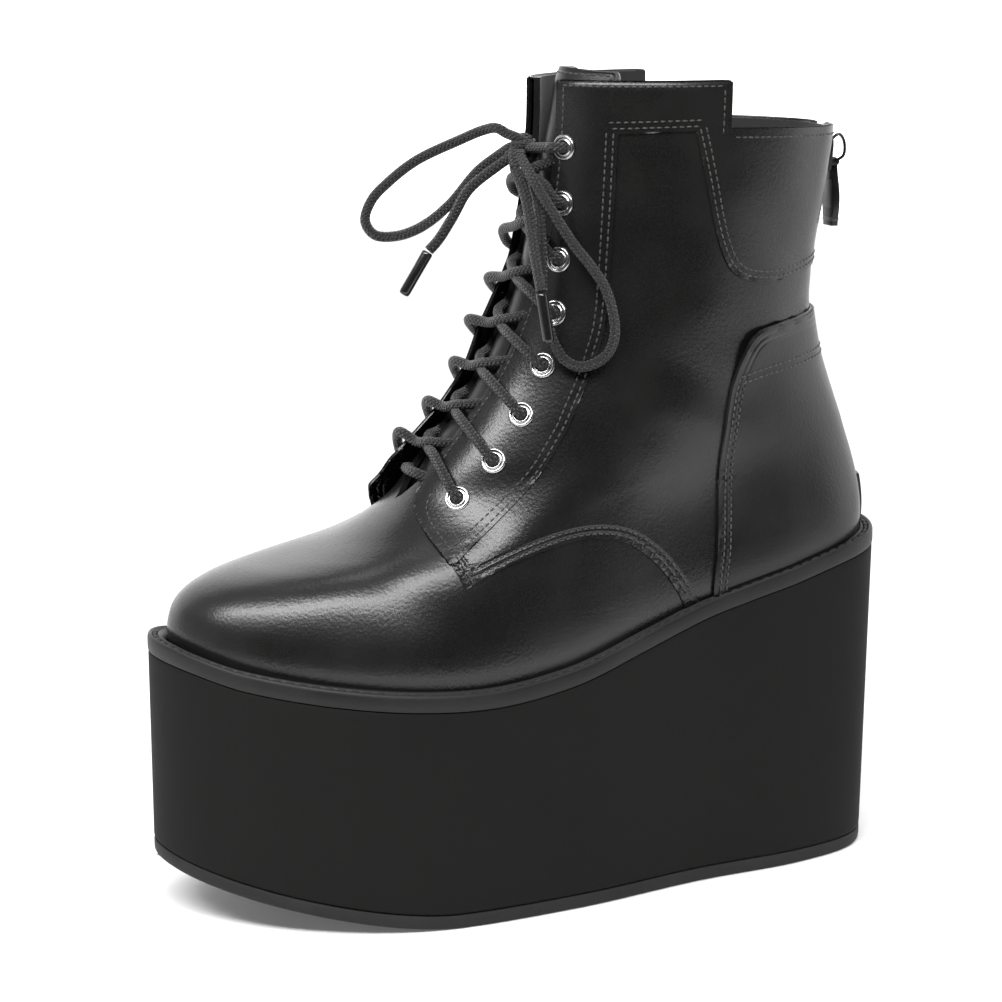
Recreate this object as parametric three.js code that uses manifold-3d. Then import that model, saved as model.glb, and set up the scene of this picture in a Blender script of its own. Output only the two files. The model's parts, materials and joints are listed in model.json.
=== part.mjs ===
// Black platform boot for the left foot: eight-eyelet front lacing, back zip, one-piece foam wedge.
// Millimetres. +Z up, toe towards -Y, heel towards +Y, outer side of the foot towards +X.
// The origin is on the ground, in the middle of the sole's length.
import * as THREE from 'three';
import { mergeVertices } from 'three/addons/utils/BufferGeometryUtils.js';
import Module from 'manifold-3d';

const wasm = await Module();
wasm.setup();

// ---- driving dimensions ----
const soleLength = 268;      // platform, toe to heel
const ballLateral = 55;      // outer half of the footprint at the ball
const ballMedial = 46.3;     // inner half of the footprint at the ball
const toeShift = -6;         // the toe curves in towards the big toe
const heelLean = 2.4;        // the platform's back wall leans in by this at the ground
const outsoleThick = 5;
const toeSpring = 19;        // ground clearance at the tip of the toe
const springStart = -44;     // the sole lifts off the ground forwards of here
const springPower = 1.55;
const weltHeight = 6.2;
const weltBead = 1.3;        // the two thin ridges of the welt
const upperWall = 2.2;
const insoleThick = 3.2;
const gap = 0.3;             // clearance between touching pieces
const outlineSteps = 48;

const groove = { count: 13, first: -88, pitch: 16, width: 3.2, depth: 1.6, edge: 13 };
const eyelet = { radius: 4.6, hole: 2.2, height: 1.1, stand: 0.45, segments: 8 };
const lace = { diameter: 3.6, sides: 8, lift: 4.3, overEdge: 4.2, inChannel: -0.6, hump: 3, tuck: 0.7 };
const counter = { stand: 0.35, thick: 1.4, slit: 3.9, rise: 0.9, side: 60 };
const stay = { width: 22, top: 136.5, thick: 1 };
const zip = { width: 6.6, stand: 0.4, thick: 1.5, top: 260.5, bottom: 138 };
const slider = { width: 8.6, tall: 12, thick: 1.7, lug: 1.1, pin: 0.6, pivotZ: 249.5, low: 0.38, high: 0.62 };
const tongueShape = {
  firstRow: 9.6, lowHalf: 19, topHalf: 24, thick: 2.4, clearance: 0.6, leanRow: 18, lean: 6, above: 4.5,
};
const pull = { length: 23, width: 8.8, neck: 4, end: 6.4, thick: 2.4, eye: 1.55, bore: 0.95 };
const knot = { x: -1, y: 0.6, z: 258, halfX: 4.3, halfY: 4.2, halfZ: 5.2 };
const aglet = { diameter: 3.9, length: 17 };

// Height of the platform's top face along the foot.
const platformTop = [
  { y: -134, z: 91 },
  { y: -112, z: 85 },
  { y: -86, z: 80.4 },
  { y: -57, z: 77.2 },
  { y: -28, z: 76.4 },
  { y: 0, z: 80.2 },
  { y: 26, z: 88 },
  { y: 54, z: 96.6 },
  { y: 88, z: 104.4 },
  { y: 117, z: 110.6 },
  { y: 140, z: 113.6 },
];

// Footprint: half widths either side of the middle line, by the angle round the foot from the toe.
const footprint = [
  { angle: 0, lateral: 0, medial: 0 },
  { angle: 22.5, lateral: 25.5, medial: 22 },
  { angle: 45, lateral: 44.5, medial: 40.5 },
  { angle: 67.5, lateral: 55, medial: 46.3 },
  { angle: 90, lateral: 51.5, medial: 38.5 },
  { angle: 112.5, lateral: 41.5, medial: 33.5 },
  { angle: 135, lateral: 36.8, medial: 34.5 },
  { angle: 157.5, lateral: 25.5, medial: 24.5 },
  { angle: 180, lateral: 0, medial: 0 },
];

// The last: slices through the upper from the sole edge to the collar. Each runs from a front point
// on the vamp or facing to a back point on the heel. lateral and medial are the greatest half widths,
// foot blends the footprint's shape into the shaft's oval, bow is how much the slice follows the curve
// of the platform, and throat is half the gap between the facings, 0 where the vamp is closed.
const last = [
  { frontY: -126.8, frontZ: 91, backY: 126.4, backZ: 112.8, lateral: 50, medial: 41.5, foot: 1, bow: 1, throat: 0 },
  { frontY: -127.4, frontZ: 97.2, backY: 127, backZ: 119.4, lateral: 50.4, medial: 41.9, foot: 1, bow: 1, throat: 0 },
  { frontY: -126.8, frontZ: 102, backY: 127.4, backZ: 124.4, lateral: 50.6, medial: 42.2, foot: 1, bow: 0.96, throat: 0 },
  { frontY: -124.8, frontZ: 107.4, backY: 127.2, backZ: 129.6, lateral: 49.6, medial: 41.8, foot: 0.98, bow: 0.86, throat: 0 },
  { frontY: -120.2, frontZ: 112.2, backY: 126.4, backZ: 135.4, lateral: 47.6, medial: 40.6, foot: 0.94, bow: 0.72, throat: 0 },
  { frontY: -112.8, frontZ: 115.8, backY: 125, backZ: 141.4, lateral: 45.4, medial: 39.2, foot: 0.88, bow: 0.56, throat: 0 },
  { frontY: -102.8, frontZ: 118.5, backY: 123.2, backZ: 147.6, lateral: 43.4, medial: 37.9, foot: 0.8, bow: 0.42, throat: 0 },
  { frontY: -90.8, frontZ: 120.5, backY: 121, backZ: 154, lateral: 41.8, medial: 37, foot: 0.7, bow: 0.29, throat: 0 },
  { frontY: -78.2, frontZ: 123, backY: 118.8, backZ: 160.6, lateral: 40.6, medial: 36.4, foot: 0.58, bow: 0.18, throat: 0 },
  { frontY: -66.2, frontZ: 126.8, backY: 116.2, backZ: 167.4, lateral: 39.8, medial: 36, foot: 0.44, bow: 0.1, throat: 0 },
  { frontY: -56, frontZ: 132.2, backY: 113.6, backZ: 174.4, lateral: 39, medial: 35.8, foot: 0.3, bow: 0.04, throat: 0 },
  { frontY: -47.4, frontZ: 139, backY: 111.2, backZ: 181.4, lateral: 38.2, medial: 35.6, foot: 0.18, bow: 0, throat: 0 },
  { frontY: -39.5, frontZ: 149, backY: 109.4, backZ: 188.4, lateral: 37.4, medial: 35.4, foot: 0.08, bow: 0, throat: 8.6 },
  { frontY: -31.6, frontZ: 158.6, backY: 108, backZ: 195, lateral: 36.6, medial: 35.2, foot: 0.02, bow: 0, throat: 9.2 },
  { frontY: -23.4, frontZ: 168.6, backY: 107.2, backZ: 201.6, lateral: 36, medial: 35, foot: 0, bow: 0, throat: 9.6 },
  { frontY: -15.4, frontZ: 180, backY: 107, backZ: 208.4, lateral: 35.6, medial: 34.8, foot: 0, bow: 0, throat: 10 },
  { frontY: -8.8, frontZ: 193, backY: 107.4, backZ: 215.6, lateral: 35.4, medial: 34.8, foot: 0, bow: 0, throat: 10.4 },
  { frontY: -3.6, frontZ: 206.6, backY: 108.2, backZ: 223.4, lateral: 35.2, medial: 34.8, foot: 0, bow: 0, throat: 10.8 },
  { frontY: 0.4, frontZ: 221, backY: 109.4, backZ: 232, lateral: 35.2, medial: 34.8, foot: 0, bow: 0, throat: 11 },
  { frontY: 3.2, frontZ: 236, backY: 110.8, backZ: 241.6, lateral: 35.4, medial: 35, foot: 0, bow: 0, throat: 11.2 },
  { frontY: 5.2, frontZ: 251, backY: 112.2, backZ: 252, lateral: 35.6, medial: 35.4, foot: 0, bow: 0, throat: 11.4 },
  { frontY: 6.4, frontZ: 266.6, backY: 113.6, backZ: 263, lateral: 36, medial: 35.8, foot: 0, bow: 0, throat: 11.6 },
  { frontY: 6.6, frontZ: 281, backY: 113.8, backZ: 281, lateral: 36.2, medial: 36, foot: 0, bow: 0, throat: 11.8 },
];
const rearCollarRow = last.length - 2;
const upperColumns = 44;
const collarStepColumn = 10;   // the collar steps down behind this column, on both sides
const shaftFullness = 0.86;    // below 1 squares the shaft's oval a little

// Eyelets on the side view, from the collar down.
const eyeletPlaces = [
  { y: 9.6, z: 259 },
  { y: 8.4, z: 240.2 },
  { y: 6.4, z: 221.4 },
  { y: 3.6, z: 203.6 },
  { y: -1.6, z: 186.2 },
  { y: -10.2, z: 170 },
  { y: -20.8, z: 155 },
  { y: -33, z: 142.4 },
];

// Front and top edge of the heel counter on the side view, from the welt up.
const counterEdge = [
  { y: 59.4, z: 136 },
  { y: 61.4, z: 158 },
  { y: 65.4, z: 181 },
  { y: 67.4, z: 187.4 },
  { y: 72, z: 192.4 },
  { y: 78, z: 194.8 },
  { y: 92, z: 196.8 },
  { y: 108, z: 198.6 },
  { y: 150, z: 199.4 },
];

// The bow. Each route starts at the knot, and the loops come back to it.
const bowRoutes = {
  lace_loop_left: [
    [-3.8, -4.6, 262.8], [-6, -7.5, 264.6], [-10, -11, 263.6], [-15, -18, 260], [-22, -31, 253],
    [-26, -40, 245.5], [-28.5, -45.5, 239], [-29.5, -47.5, 232], [-27.5, -45, 227.4], [-24, -39, 226.8],
    [-19, -31.5, 229.8], [-12, -23, 238], [-7, -14, 250], [-3.5, -7, 256],
  ],
  lace_loop_right: [
    [5, -3.4, 255.6], [10.5, -3, 252.5], [17, -2, 247], [21.5, 2, 238.5], [26, 8, 227.5], [31, 13, 219.5],
    [33.5, 17, 212], [36, 19, 200], [36.5, 18, 194.5], [36, 15, 190], [34, 8, 187], [31.5, 3, 189],
    [28, 0, 195], [25, -2.6, 209], [21.4, -1.6, 225], [15.6, -0.6, 240], [8.6, -0.6, 249],
  ],
  lace_end_left: [
    [1, -6, 254.6], [2, -10, 252.5], [-1, -19.5, 244.5], [-4, -24, 235.5], [-6, -29, 227], [-7, -32, 223.5],
  ],
  lace_end_right: [
    [7, -5.8, 251.8], [14, -4.8, 243], [20.5, -5.4, 233], [25.5, -6, 225], [29.5, -6, 217], [31.5, -6, 213],
  ],
};
const agletTips = { lace_end_left: [-8, -40.5, 209.5], lace_end_right: [34.5, -4.5, 196] };

const finishes = {
  leather: { color: 0x141414, roughness: 0.32, metalness: 0 },
  lining: { color: 0x1c1b1a, roughness: 0.8, metalness: 0 },
  foam: { color: 0x1a1a1a, roughness: 0.85, metalness: 0 },
  rubber: { color: 0x222222, roughness: 0.7, metalness: 0 },
  steel: { color: 0xd5d5d5, roughness: 0.2, metalness: 1 },
  darkMetal: { color: 0x2b2b2d, roughness: 0.25, metalness: 0.9 },
  cord: { color: 0x1d1d1d, roughness: 0.55, metalness: 0 },
};

// ---- small helpers ----
const lerp = THREE.MathUtils.lerp;
const vec = (x, y, z) => new THREE.Vector3(x, y, z);
const boot = new THREE.Group();
boot.name = 'platform_boot';

function cubic(a, b, c, d, f) {
  const bend = 2 * a - 5 * b + 4 * c - d;
  return b + 0.5 * f * (c - a + f * (bend + f * (3 * (b - c) + d - a)));
}

// Smooth value of one column of a table at a row position that may lie between rows.
function column(rows, name, row) {
  const top = rows.length - 1;
  const clamped = THREE.MathUtils.clamp(row, 0, top);
  const i = Math.min(Math.floor(clamped), top - 1);
  const pick = (k) => rows[THREE.MathUtils.clamp(k, 0, top)][name];
  return cubic(pick(i - 1), pick(i), pick(i + 1), pick(i + 2), clamped - i);
}

function topAt(y) {
  const end = platformTop.length - 1;
  const at = THREE.MathUtils.clamp(y, platformTop[0].y, platformTop[end].y);
  let i = 0;
  while (i < end - 1 && platformTop[i + 1].y < at) i += 1;
  const f = (at - platformTop[i].y) / (platformTop[i + 1].y - platformTop[i].y);
  return column(platformTop, 'z', i + f);
}

function groundAt(y) {
  const run = Math.max(0, springStart - y) / (soleLength / 2 + springStart);
  return toeSpring * run ** springPower;
}

// Signed half width of the footprint: positive on the outer side, where the angle is under half a turn.
function footHalf(angle) {
  const turn = THREE.MathUtils.euclideanModulo(angle, 2 * Math.PI);
  const step = 2 * Math.PI / (2 * (footprint.length - 1));
  const count = 2 * (footprint.length - 1);
  const pick = (k) => {
    const n = THREE.MathUtils.euclideanModulo(k, count);
    return n < footprint.length ? footprint[n].lateral : -footprint[count - n].medial;
  };
  const i = Math.floor(turn / step);
  return cubic(pick(i - 1), pick(i), pick(i + 1), pick(i + 2), turn / step - i);
}

const middleLine = (share) => toeShift * (1 - share) ** 2;

function solid(name, points, triangles, finish) {
  let volume = 0;
  for (const [a, b, c] of triangles) {
    volume += points[a].dot(vec(0, 0, 0).crossVectors(points[b], points[c]));
  }
  const order = volume > 0 ? triangles : triangles.map(([a, b, c]) => [a, c, b]);
  const geometry = new THREE.BufferGeometry();
  geometry.setAttribute('position', new THREE.Float32BufferAttribute(points.flatMap((p) => p.toArray()), 3));
  geometry.setIndex(order.flat());
  geometry.computeVertexNormals();
  return addPiece(name, geometry, finish);
}

function addPiece(name, geometry, finish) {
  const piece = new THREE.Mesh(geometry, new THREE.MeshStandardMaterial(finishes[finish]));
  piece.name = name;
  boot.add(piece);
  return piece;
}

function toManifold(geometry) {
  const bare = geometry.clone();
  bare.deleteAttribute('normal');
  bare.deleteAttribute('uv');
  const merged = mergeVertices(bare, 1e-4);
  return new wasm.Manifold(new wasm.Mesh({
    numProp: 3,
    vertProperties: new Float32Array(merged.getAttribute('position').array),
    triVerts: new Uint32Array(merged.getIndex().array),
  }));
}

function fromManifold(body) {
  const mesh = body.getMesh();
  const geometry = new THREE.BufferGeometry();
  geometry.setAttribute('position', new THREE.BufferAttribute(mesh.vertProperties, 3));
  geometry.setIndex(new THREE.BufferAttribute(mesh.triVerts, 1));
  geometry.computeVertexNormals();
  return geometry;
}

// Side faces between two loops of the same length.
function wall(triangles, low, high, count) {
  for (let i = 0; i < count; i += 1) {
    const next = (i + 1) % count;
    triangles.push([low + i, low + next, high + next], [low + i, high + next, high + i]);
  }
}

// A closed body from loops stacked bottom to top. The caps are strips that run straight across the foot.
function stack(name, loops, finish) {
  const count = loops[0].length;
  const points = loops.flat();
  const triangles = [];
  for (let k = 0; k < loops.length - 1; k += 1) wall(triangles, k * count, (k + 1) * count, count);
  const cap = (base, flip) => {
    for (let i = 0; i < count / 2; i += 1) {
      const corners = [i, i + 1, count - i - 1, (count - i) % count].map((k) => base + k);
      const [a, b, c, d] = flip ? [...corners].reverse() : corners;
      if (a !== d && b !== c) triangles.push([a, b, c], [a, c, d]);
      else if (a === d) triangles.push([a, b, c]);
      else triangles.push([a, b, d]);
    }
  };
  cap(0, true);
  cap((loops.length - 1) * count, false);
  return solid(name, points, triangles, finish);
}

// A closed ring from loops that follow its section round.
function ring(name, loops, finish) {
  const count = loops[0].length;
  const triangles = [];
  loops.forEach((_, k) => wall(triangles, k * count, ((k + 1) % loops.length) * count, count));
  return solid(name, loops.flat(), triangles, finish);
}

function loop(count, place) {
  return Array.from({ length: count }, (_, i) => place(2 * Math.PI * i / count));
}

// ---- the last ----
const lastAt = (name, row) => column(last, name, row);

function onLast(row, angle) {
  const share = (1 - Math.cos(angle)) / 2;
  const frontY = lastAt('frontY', row);
  const backY = lastAt('backY', row);
  const y = lerp(frontY, backY, share);
  const chord = lerp(topAt(frontY), topAt(backY), share);
  const z = lerp(lastAt('frontZ', row), lastAt('backZ', row), share) + lastAt('bow', row) * (topAt(y) - chord);
  const foot = THREE.MathUtils.clamp(lastAt('foot', row), 0, 1);
  const outer = Math.sin(angle) >= 0;
  const half = lastAt(outer ? 'lateral' : 'medial', row);
  const full = outer ? ballLateral : ballMedial;
  const oval = Math.sign(Math.sin(angle)) * Math.abs(Math.sin(angle)) ** shaftFullness;
  const x = half * lerp(oval, footHalf(angle) / full, foot) + foot * middleLine(share);
  return vec(x, y, z);
}

function lastNormal(row, angle) {
  const step = 1e-3;
  const up = onLast(row + step, angle).sub(onLast(row - step, angle));
  const round = onLast(row, angle + step).sub(onLast(row, angle - step));
  return round.cross(up).normalize();
}

const offLast = (row, angle, out) => onLast(row, angle).addScaledVector(lastNormal(row, angle), out);

// Bisection for the place where a rising function reaches a value.
function reach(low, high, value, measure) {
  let [a, b] = [low, high];
  for (let n = 0; n < 40; n += 1) {
    const middle = (a + b) / 2;
    if (measure(middle) < value) a = middle;
    else b = middle;
  }
  return (a + b) / 2;
}

const mirrorAngle = (angle, side) => (side > 0 ? angle : 2 * Math.PI - angle);

// Row and angle of a point given on the side view, on the outer side (1) or the inner side (-1).
function locate(y, z, side) {
  const angleFor = (row) => {
    const share = (y - lastAt('frontY', row)) / (lastAt('backY', row) - lastAt('frontY', row));
    return mirrorAngle(Math.acos(1 - 2 * THREE.MathUtils.clamp(share, 0, 1)), side);
  };
  const row = reach(0, last.length - 1, z, (r) => onLast(r, angleFor(r)).z);
  return { row, angle: angleFor(row) };
}

// Angle at which a row reaches a distance from the middle line, near the front.
function frontAngle(row, distance, side) {
  return mirrorAngle(reach(0, Math.PI / 2, distance, (a) => Math.abs(onLast(row, mirrorAngle(a, side)).x)), side);
}

// Angle of one of the upper's columns on a row: the columns start and end at the facings.
const isOpen = (row) => row < last.length && last[row].throat > 0;

function columnAngle(row, i) {
  const start = isOpen(row) ? frontAngle(row, last[row].throat, 1) : 0;
  const end = isOpen(row) ? frontAngle(row, last[row].throat, -1) : 2 * Math.PI;
  return lerp(start, end, i / upperColumns);
}

// ---- sole ----
function soleLoop(inset, height) {
  return loop(outlineSteps, (angle) => {
    const share = (1 - Math.cos(angle)) / 2;
    const half = soleLength / 2 - inset;
    const y = -half * Math.cos(angle);
    const spread = 1 - inset / ballMedial;
    const lean = heelLean * Math.max(0, share - 0.5) * 2;
    const rise = THREE.MathUtils.clamp(height(y) / topAt(y), 0, 1);
    return vec(footHalf(angle) * spread + middleLine(share), y - lean * (1 - rise), height(y));
  });
}

function outsole() {
  const body = stack('outsole_blank', [
    soleLoop(1.2, groundAt),
    soleLoop(0, (y) => groundAt(y) + 1.2),
    soleLoop(0, (y) => groundAt(y) + outsoleThick),
  ], 'rubber');
  boot.remove(body);
  let cut = toManifold(body.geometry);
  for (let n = 0; n < groove.count; n += 1) {
    const y = groove.first + n * groove.pitch;
    const share = (y + soleLength / 2) / soleLength;
    const angle = Math.acos(1 - 2 * share);
    const outer = footHalf(angle) + middleLine(share) - groove.edge;
    const inner = footHalf(-angle) + middleLine(share) + groove.edge;
    const slot = new THREE.BoxGeometry(outer - inner, groove.width, 2 * groove.depth);
    const slope = Math.atan(groundAt(y + 1) - groundAt(y));
    slot.rotateX(slope);
    slot.translate((outer + inner) / 2, y, groundAt(y));
    cut = cut.subtract(toManifold(slot));
  }
  addPiece('outsole', fromManifold(cut), 'rubber');
}

function platform() {
  const low = (y) => groundAt(y) + outsoleThick + gap;
  const level = (f) => (y) => lerp(low(y), topAt(y), f);
  stack('platform', [
    soleLoop(0, level(0)),
    soleLoop(0, level(0.5)),
    soleLoop(0, level(1)),
  ], 'foam');
}

function weltInner(height) {
  return loop(outlineSteps, (angle) => {
    const p = offLast(0.6, angle, gap + 0.25);
    return vec(p.x, p.y, topAt(p.y) + height);
  });
}

function welt() {
  const outer = (inset, height) => loop(outlineSteps, (angle) => {
    const share = (1 - Math.cos(angle)) / 2;
    const y = -(soleLength / 2 - inset) * Math.cos(angle);
    return vec(footHalf(angle) * (1 - inset / ballMedial) + middleLine(share), y, topAt(y) + height);
  });
  ring('welt', [
    outer(0.1, gap),
    outer(0.1, weltHeight - weltBead),
    outer(1, weltHeight),
    weltInner(weltHeight),
    weltInner(gap),
  ], 'rubber');
}

function insole() {
  const inner = (height) => loop(outlineSteps, (angle) => {
    const p = offLast(0.5, angle, -upperWall - gap - 0.8);
    return vec(p.x, p.y, topAt(p.y) + height);
  });
  stack('insole', [inner(gap), inner(gap + insoleThick)], 'lining');
}

// ---- upper ----
function upper() {
  const points = [];
  const index = new Map();
  const key = (row, i) => `${row}_${!isOpen(row) && i === upperColumns ? 0 : i}`;
  last.forEach((slice, row) => {
    for (let i = 0; i <= upperColumns; i += 1) {
      if (index.has(key(row, i))) continue;
      index.set(key(row, i), points.length);
      points.push(onLast(row, columnAngle(row, i)));
    }
  });
  const at = (row, i) => index.get(key(row, i));
  const outside = [];
  for (let row = 0; row < last.length - 1; row += 1) {
    for (let i = 0; i < upperColumns; i += 1) {
      const rear = i >= collarStepColumn && i < upperColumns - collarStepColumn;
      if (row === rearCollarRow && rear) continue;
      const [a, b, c, d] = [at(row, i), at(row, i + 1), at(row + 1, i + 1), at(row + 1, i)];
      outside.push([a, b, c]);
      outside.push([a, c, d]);
    }
  }
  thicken('upper', points, outside, upperWall, 'leather');
}

// Gives a surface a wall on its inner side and closes every open edge.
function thicken(name, points, outside, thick, finish) {
  const used = [...new Set(outside.flat())];
  const renumber = new Map(used.map((old, n) => [old, n]));
  const outer = used.map((old) => points[old]);
  const faces = outside
    .map((face) => face.map((k) => renumber.get(k)))
    .filter(([a, b, c]) => a !== b && b !== c && a !== c);
  const normals = outer.map(() => vec(0, 0, 0));
  for (const [a, b, c] of faces) {
    const normal = outer[b].clone().sub(outer[a]).cross(outer[c].clone().sub(outer[a]));
    [a, b, c].forEach((k) => normals[k].add(normal));
  }
  const inner = outer.map((p, k) => p.clone().addScaledVector(normals[k].normalize(), -thick));
  const shift = outer.length;
  const triangles = [...faces];
  const edges = new Set(faces.flatMap(([a, b, c]) => [`${a} ${b}`, `${b} ${c}`, `${c} ${a}`]));
  for (const [a, b, c] of faces) triangles.push([a + shift, c + shift, b + shift]);
  for (const edge of edges) {
    const [a, b] = edge.split(' ').map(Number);
    if (edges.has(`${b} ${a}`)) continue;
    triangles.push([b, a, a + shift]);
    triangles.push([b, a + shift, b + shift]);
  }
  return solid(name, [...outer, ...inner], triangles, finish);
}

// A grid of points that becomes a body of its own, its outer face out and a wall behind it.
function sheet(name, rows, across, place, thick, finish) {
  const points = [];
  for (let j = 0; j <= rows; j += 1) {
    for (let i = 0; i <= across; i += 1) points.push(place(j, i));
  }
  const outside = [];
  for (let j = 0; j < rows; j += 1) {
    for (let i = 0; i < across; i += 1) {
      const a = j * (across + 1) + i;
      outside.push([a, a + 1, a + across + 2]);
      outside.push([a, a + across + 2, a + across + 1]);
    }
  }
  return thicken(name, points, outside, thick, finish);
}

// An overlay on the heel: two larger copies of the upper's own surface, trimmed by solids.
function heelOverlay(name, stand, thick, trims) {
  const [firstRow, lastRow, firstColumn, lastColumn] = [0, 18, 8, upperColumns - 8];
  const form = sheet(name, lastRow - firstRow, lastColumn - firstColumn, (j, i) => {
    const row = firstRow + j;
    return offLast(row, columnAngle(row, firstColumn + i), stand + thick);
  }, thick, 'leather');
  boot.remove(form);
  let body = toManifold(form.geometry);
  for (const trim of trims) body = body.intersect(toManifold(trim));
  return addPiece(name, fromManifold(body), 'leather');
}

// A prism that runs sideways through the boot, from a side outline given as y and z.
function sidePrism(outline, fromX, toX) {
  const shape = new THREE.Shape(outline.map((p) => new THREE.Vector2(p.y, p.z)));
  const prism = new THREE.ExtrudeGeometry(shape, { depth: toX - fromX, bevelEnabled: false });
  const axes = new THREE.Matrix4().makeBasis(vec(0, 1, 0), vec(0, 0, 1), vec(1, 0, 0));
  return prism.applyMatrix4(axes.setPosition(fromX, 0, 0));
}

const aboveWelt = (y) => ({ y, z: topAt(y) + weltHeight + counter.rise });

function box(low, high) {
  const size = high.clone().sub(low);
  const middle = low.clone().add(high).multiplyScalar(0.5);
  return new THREE.BoxGeometry(size.x, size.y, size.z).translate(middle.x, middle.y, middle.z);
}

// ---- heel pieces ----
function heelCounter(name, fromX, toX) {
  const outline = [...counterEdge, ...[150, 128, 106, 84].map(aboveWelt), aboveWelt(59.4)];
  heelOverlay(name, counter.stand, counter.thick, [sidePrism(outline, fromX, toX)]);
}

function backStay() {
  const outline = [{ y: 90, z: stay.top }, { y: 150, z: stay.top }, aboveWelt(150), aboveWelt(120), aboveWelt(90)];
  const trim = sidePrism(outline, -stay.width / 2, stay.width / 2);
  heelOverlay('back_stay', counter.stand + counter.thick + gap, stay.thick, [trim]);
}

// Row where a column of the upper reaches a height.
const rowAtHeight = (angle, z) => reach(0, last.length - 1, z, (row) => onLast(row, angle).z);
const backLine = (z, out) => offLast(rowAtHeight(Math.PI, z), Math.PI, out);

function zipChain() {
  const steps = 14;
  sheet('zip_chain', steps, 1, (j, i) => {
    const p = backLine(lerp(zip.bottom, zip.top, j / steps), zip.stand + zip.thick);
    return vec((0.5 - i) * zip.width, p.y, p.z);
  }, zip.thick, 'darkMetal');
}

// ---- tongue ----
function tongue() {
  const rows = 15;
  const across = 8;
  const depth = upperWall + gap + tongueShape.clearance;
  sheet('tongue', rows, across, (j, i) => {
    const row = Math.min(lerp(tongueShape.firstRow, last.length - 1, j / (rows - 1)), last.length - 1);
    const reachX = lerp(tongueShape.lowHalf, tongueShape.topHalf, j / rows) * (2 * i / across - 1);
    const angle = frontAngle(row, Math.max(Math.abs(reachX), 0.01), Math.sign(reachX) || 1);
    const p = offLast(row, angle, -depth);
    const lean = Math.max(0, row - tongueShape.leanRow) / (last.length - 1 - tongueShape.leanRow);
    const above = j === rows ? tongueShape.above : 0;
    return p.add(vec(0, tongueShape.lean * lean ** 2 + above * 0.35, above));
  }, tongueShape.thick, 'leather');
}

// ---- eyelets ----
const eyeletSpots = eyeletPlaces.flatMap(({ y, z }, n) => [1, -1].map((side) => {
  const { row, angle } = locate(y, z, side);
  return { n, side, point: onLast(row, angle), normal: lastNormal(row, angle) };
}));
const eyeletAt = (n, side) => eyeletSpots.find((spot) => spot.n === n && spot.side === side);

function eyelets() {
  const { radius, hole, height } = eyelet;
  const profile = [[hole, 0], [radius, 0], [radius - 0.8, height], [hole + 0.3, height]];
  const closed = [...profile, profile[0]].map(([r, h]) => new THREE.Vector2(r, h));
  for (const { n, side, point, normal } of eyeletSpots) {
    const geometry = new THREE.LatheGeometry(closed, eyelet.segments);
    const piece = addPiece(`eyelet_${side > 0 ? 'outer' : 'inner'}_${n + 1}`, geometry, 'steel');
    piece.quaternion.setFromUnitVectors(vec(0, 1, 0), normal);
    piece.position.copy(point).addScaledVector(normal, eyelet.stand);
  }
}

// ---- laces ----
function tube(route, diameter, steps) {
  const section = new THREE.Shape(Array.from({ length: lace.sides }, (_, k) => {
    const turn = 2 * Math.PI * k / lace.sides;
    return new THREE.Vector2(Math.cos(turn), Math.sin(turn)).multiplyScalar(diameter / 2);
  }));
  const path = new THREE.CatmullRomCurve3(route, false, 'centripetal');
  return new THREE.ExtrudeGeometry(section, { steps, extrudePath: path, bevelEnabled: false });
}

// Row where the facing's edge passes closest to an eyelet.
function edgeRow(n, side) {
  const { point } = eyeletAt(n, side);
  let best = { row: 0, far: Infinity };
  for (let row = 11.2; row <= last.length - 1; row += 0.1) {
    const far = facingEdge(row, side, 0).distanceTo(point);
    if (far < best.far) best = { row, far };
  }
  return best.row;
}

function facingEdge(row, side, out) {
  const half = Math.max(lastAt('throat', row), 1);
  return offLast(row, frontAngle(row, half, side), out);
}

function inChannel(row, side, share, out) {
  const half = Math.max(lastAt('throat', row), 1) * share;
  return offLast(row, frontAngle(row, Math.max(half, 0.01), side), out);
}

function strand(n, side, hump) {
  const { point, normal } = eyeletAt(n, side);
  const [low, high] = [edgeRow(n, side), edgeRow(n - 1, side)];
  const row = (f) => lerp(low, high, f);
  return tube([
    point.clone().addScaledVector(normal, lace.lift),
    facingEdge(row(0.28), side, lace.overEdge + hump * 0.4),
    inChannel(row(0.42), side, 0.4, lace.inChannel + hump * 0.8 + 0.8),
    inChannel(row(0.56), -side, 0.25, lace.inChannel + hump),
    inChannel(row(0.7), -side, lace.tuck, lace.inChannel),
  ], lace.diameter, 5);
}

function laceCrossings() {
  for (let n = 1; n < eyeletPlaces.length; n += 1) {
    const under = toManifold(strand(n, 1, 0));
    const over = toManifold(strand(n, -1, lace.hump));
    addPiece(`lace_crossing_${n}`, fromManifold(under.add(over)), 'cord');
  }
  const low = edgeRow(eyeletPlaces.length - 1, 1) - 0.25;
  const bar = [1, 0.4, -0.4, -1].map((share) => (
    inChannel(low, share, Math.abs(share) * lace.tuck, lace.inChannel + 0.5)));
  addPiece('lace_bottom_bar', tube(bar, lace.diameter, 4), 'cord');
  for (const side of [1, -1]) {
    const { point, normal } = eyeletAt(0, side);
    const top = edgeRow(0, side);
    const route = [
      point.clone().addScaledVector(normal, lace.lift),
      facingEdge(top, side, lace.overEdge),
      vec(knot.x + side * (knot.halfX + 1.2), knot.y, knot.z),
    ];
    addPiece(`lace_top_${side > 0 ? 'outer' : 'inner'}`, tube(route, lace.diameter, 5), 'cord');
  }
}

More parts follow.
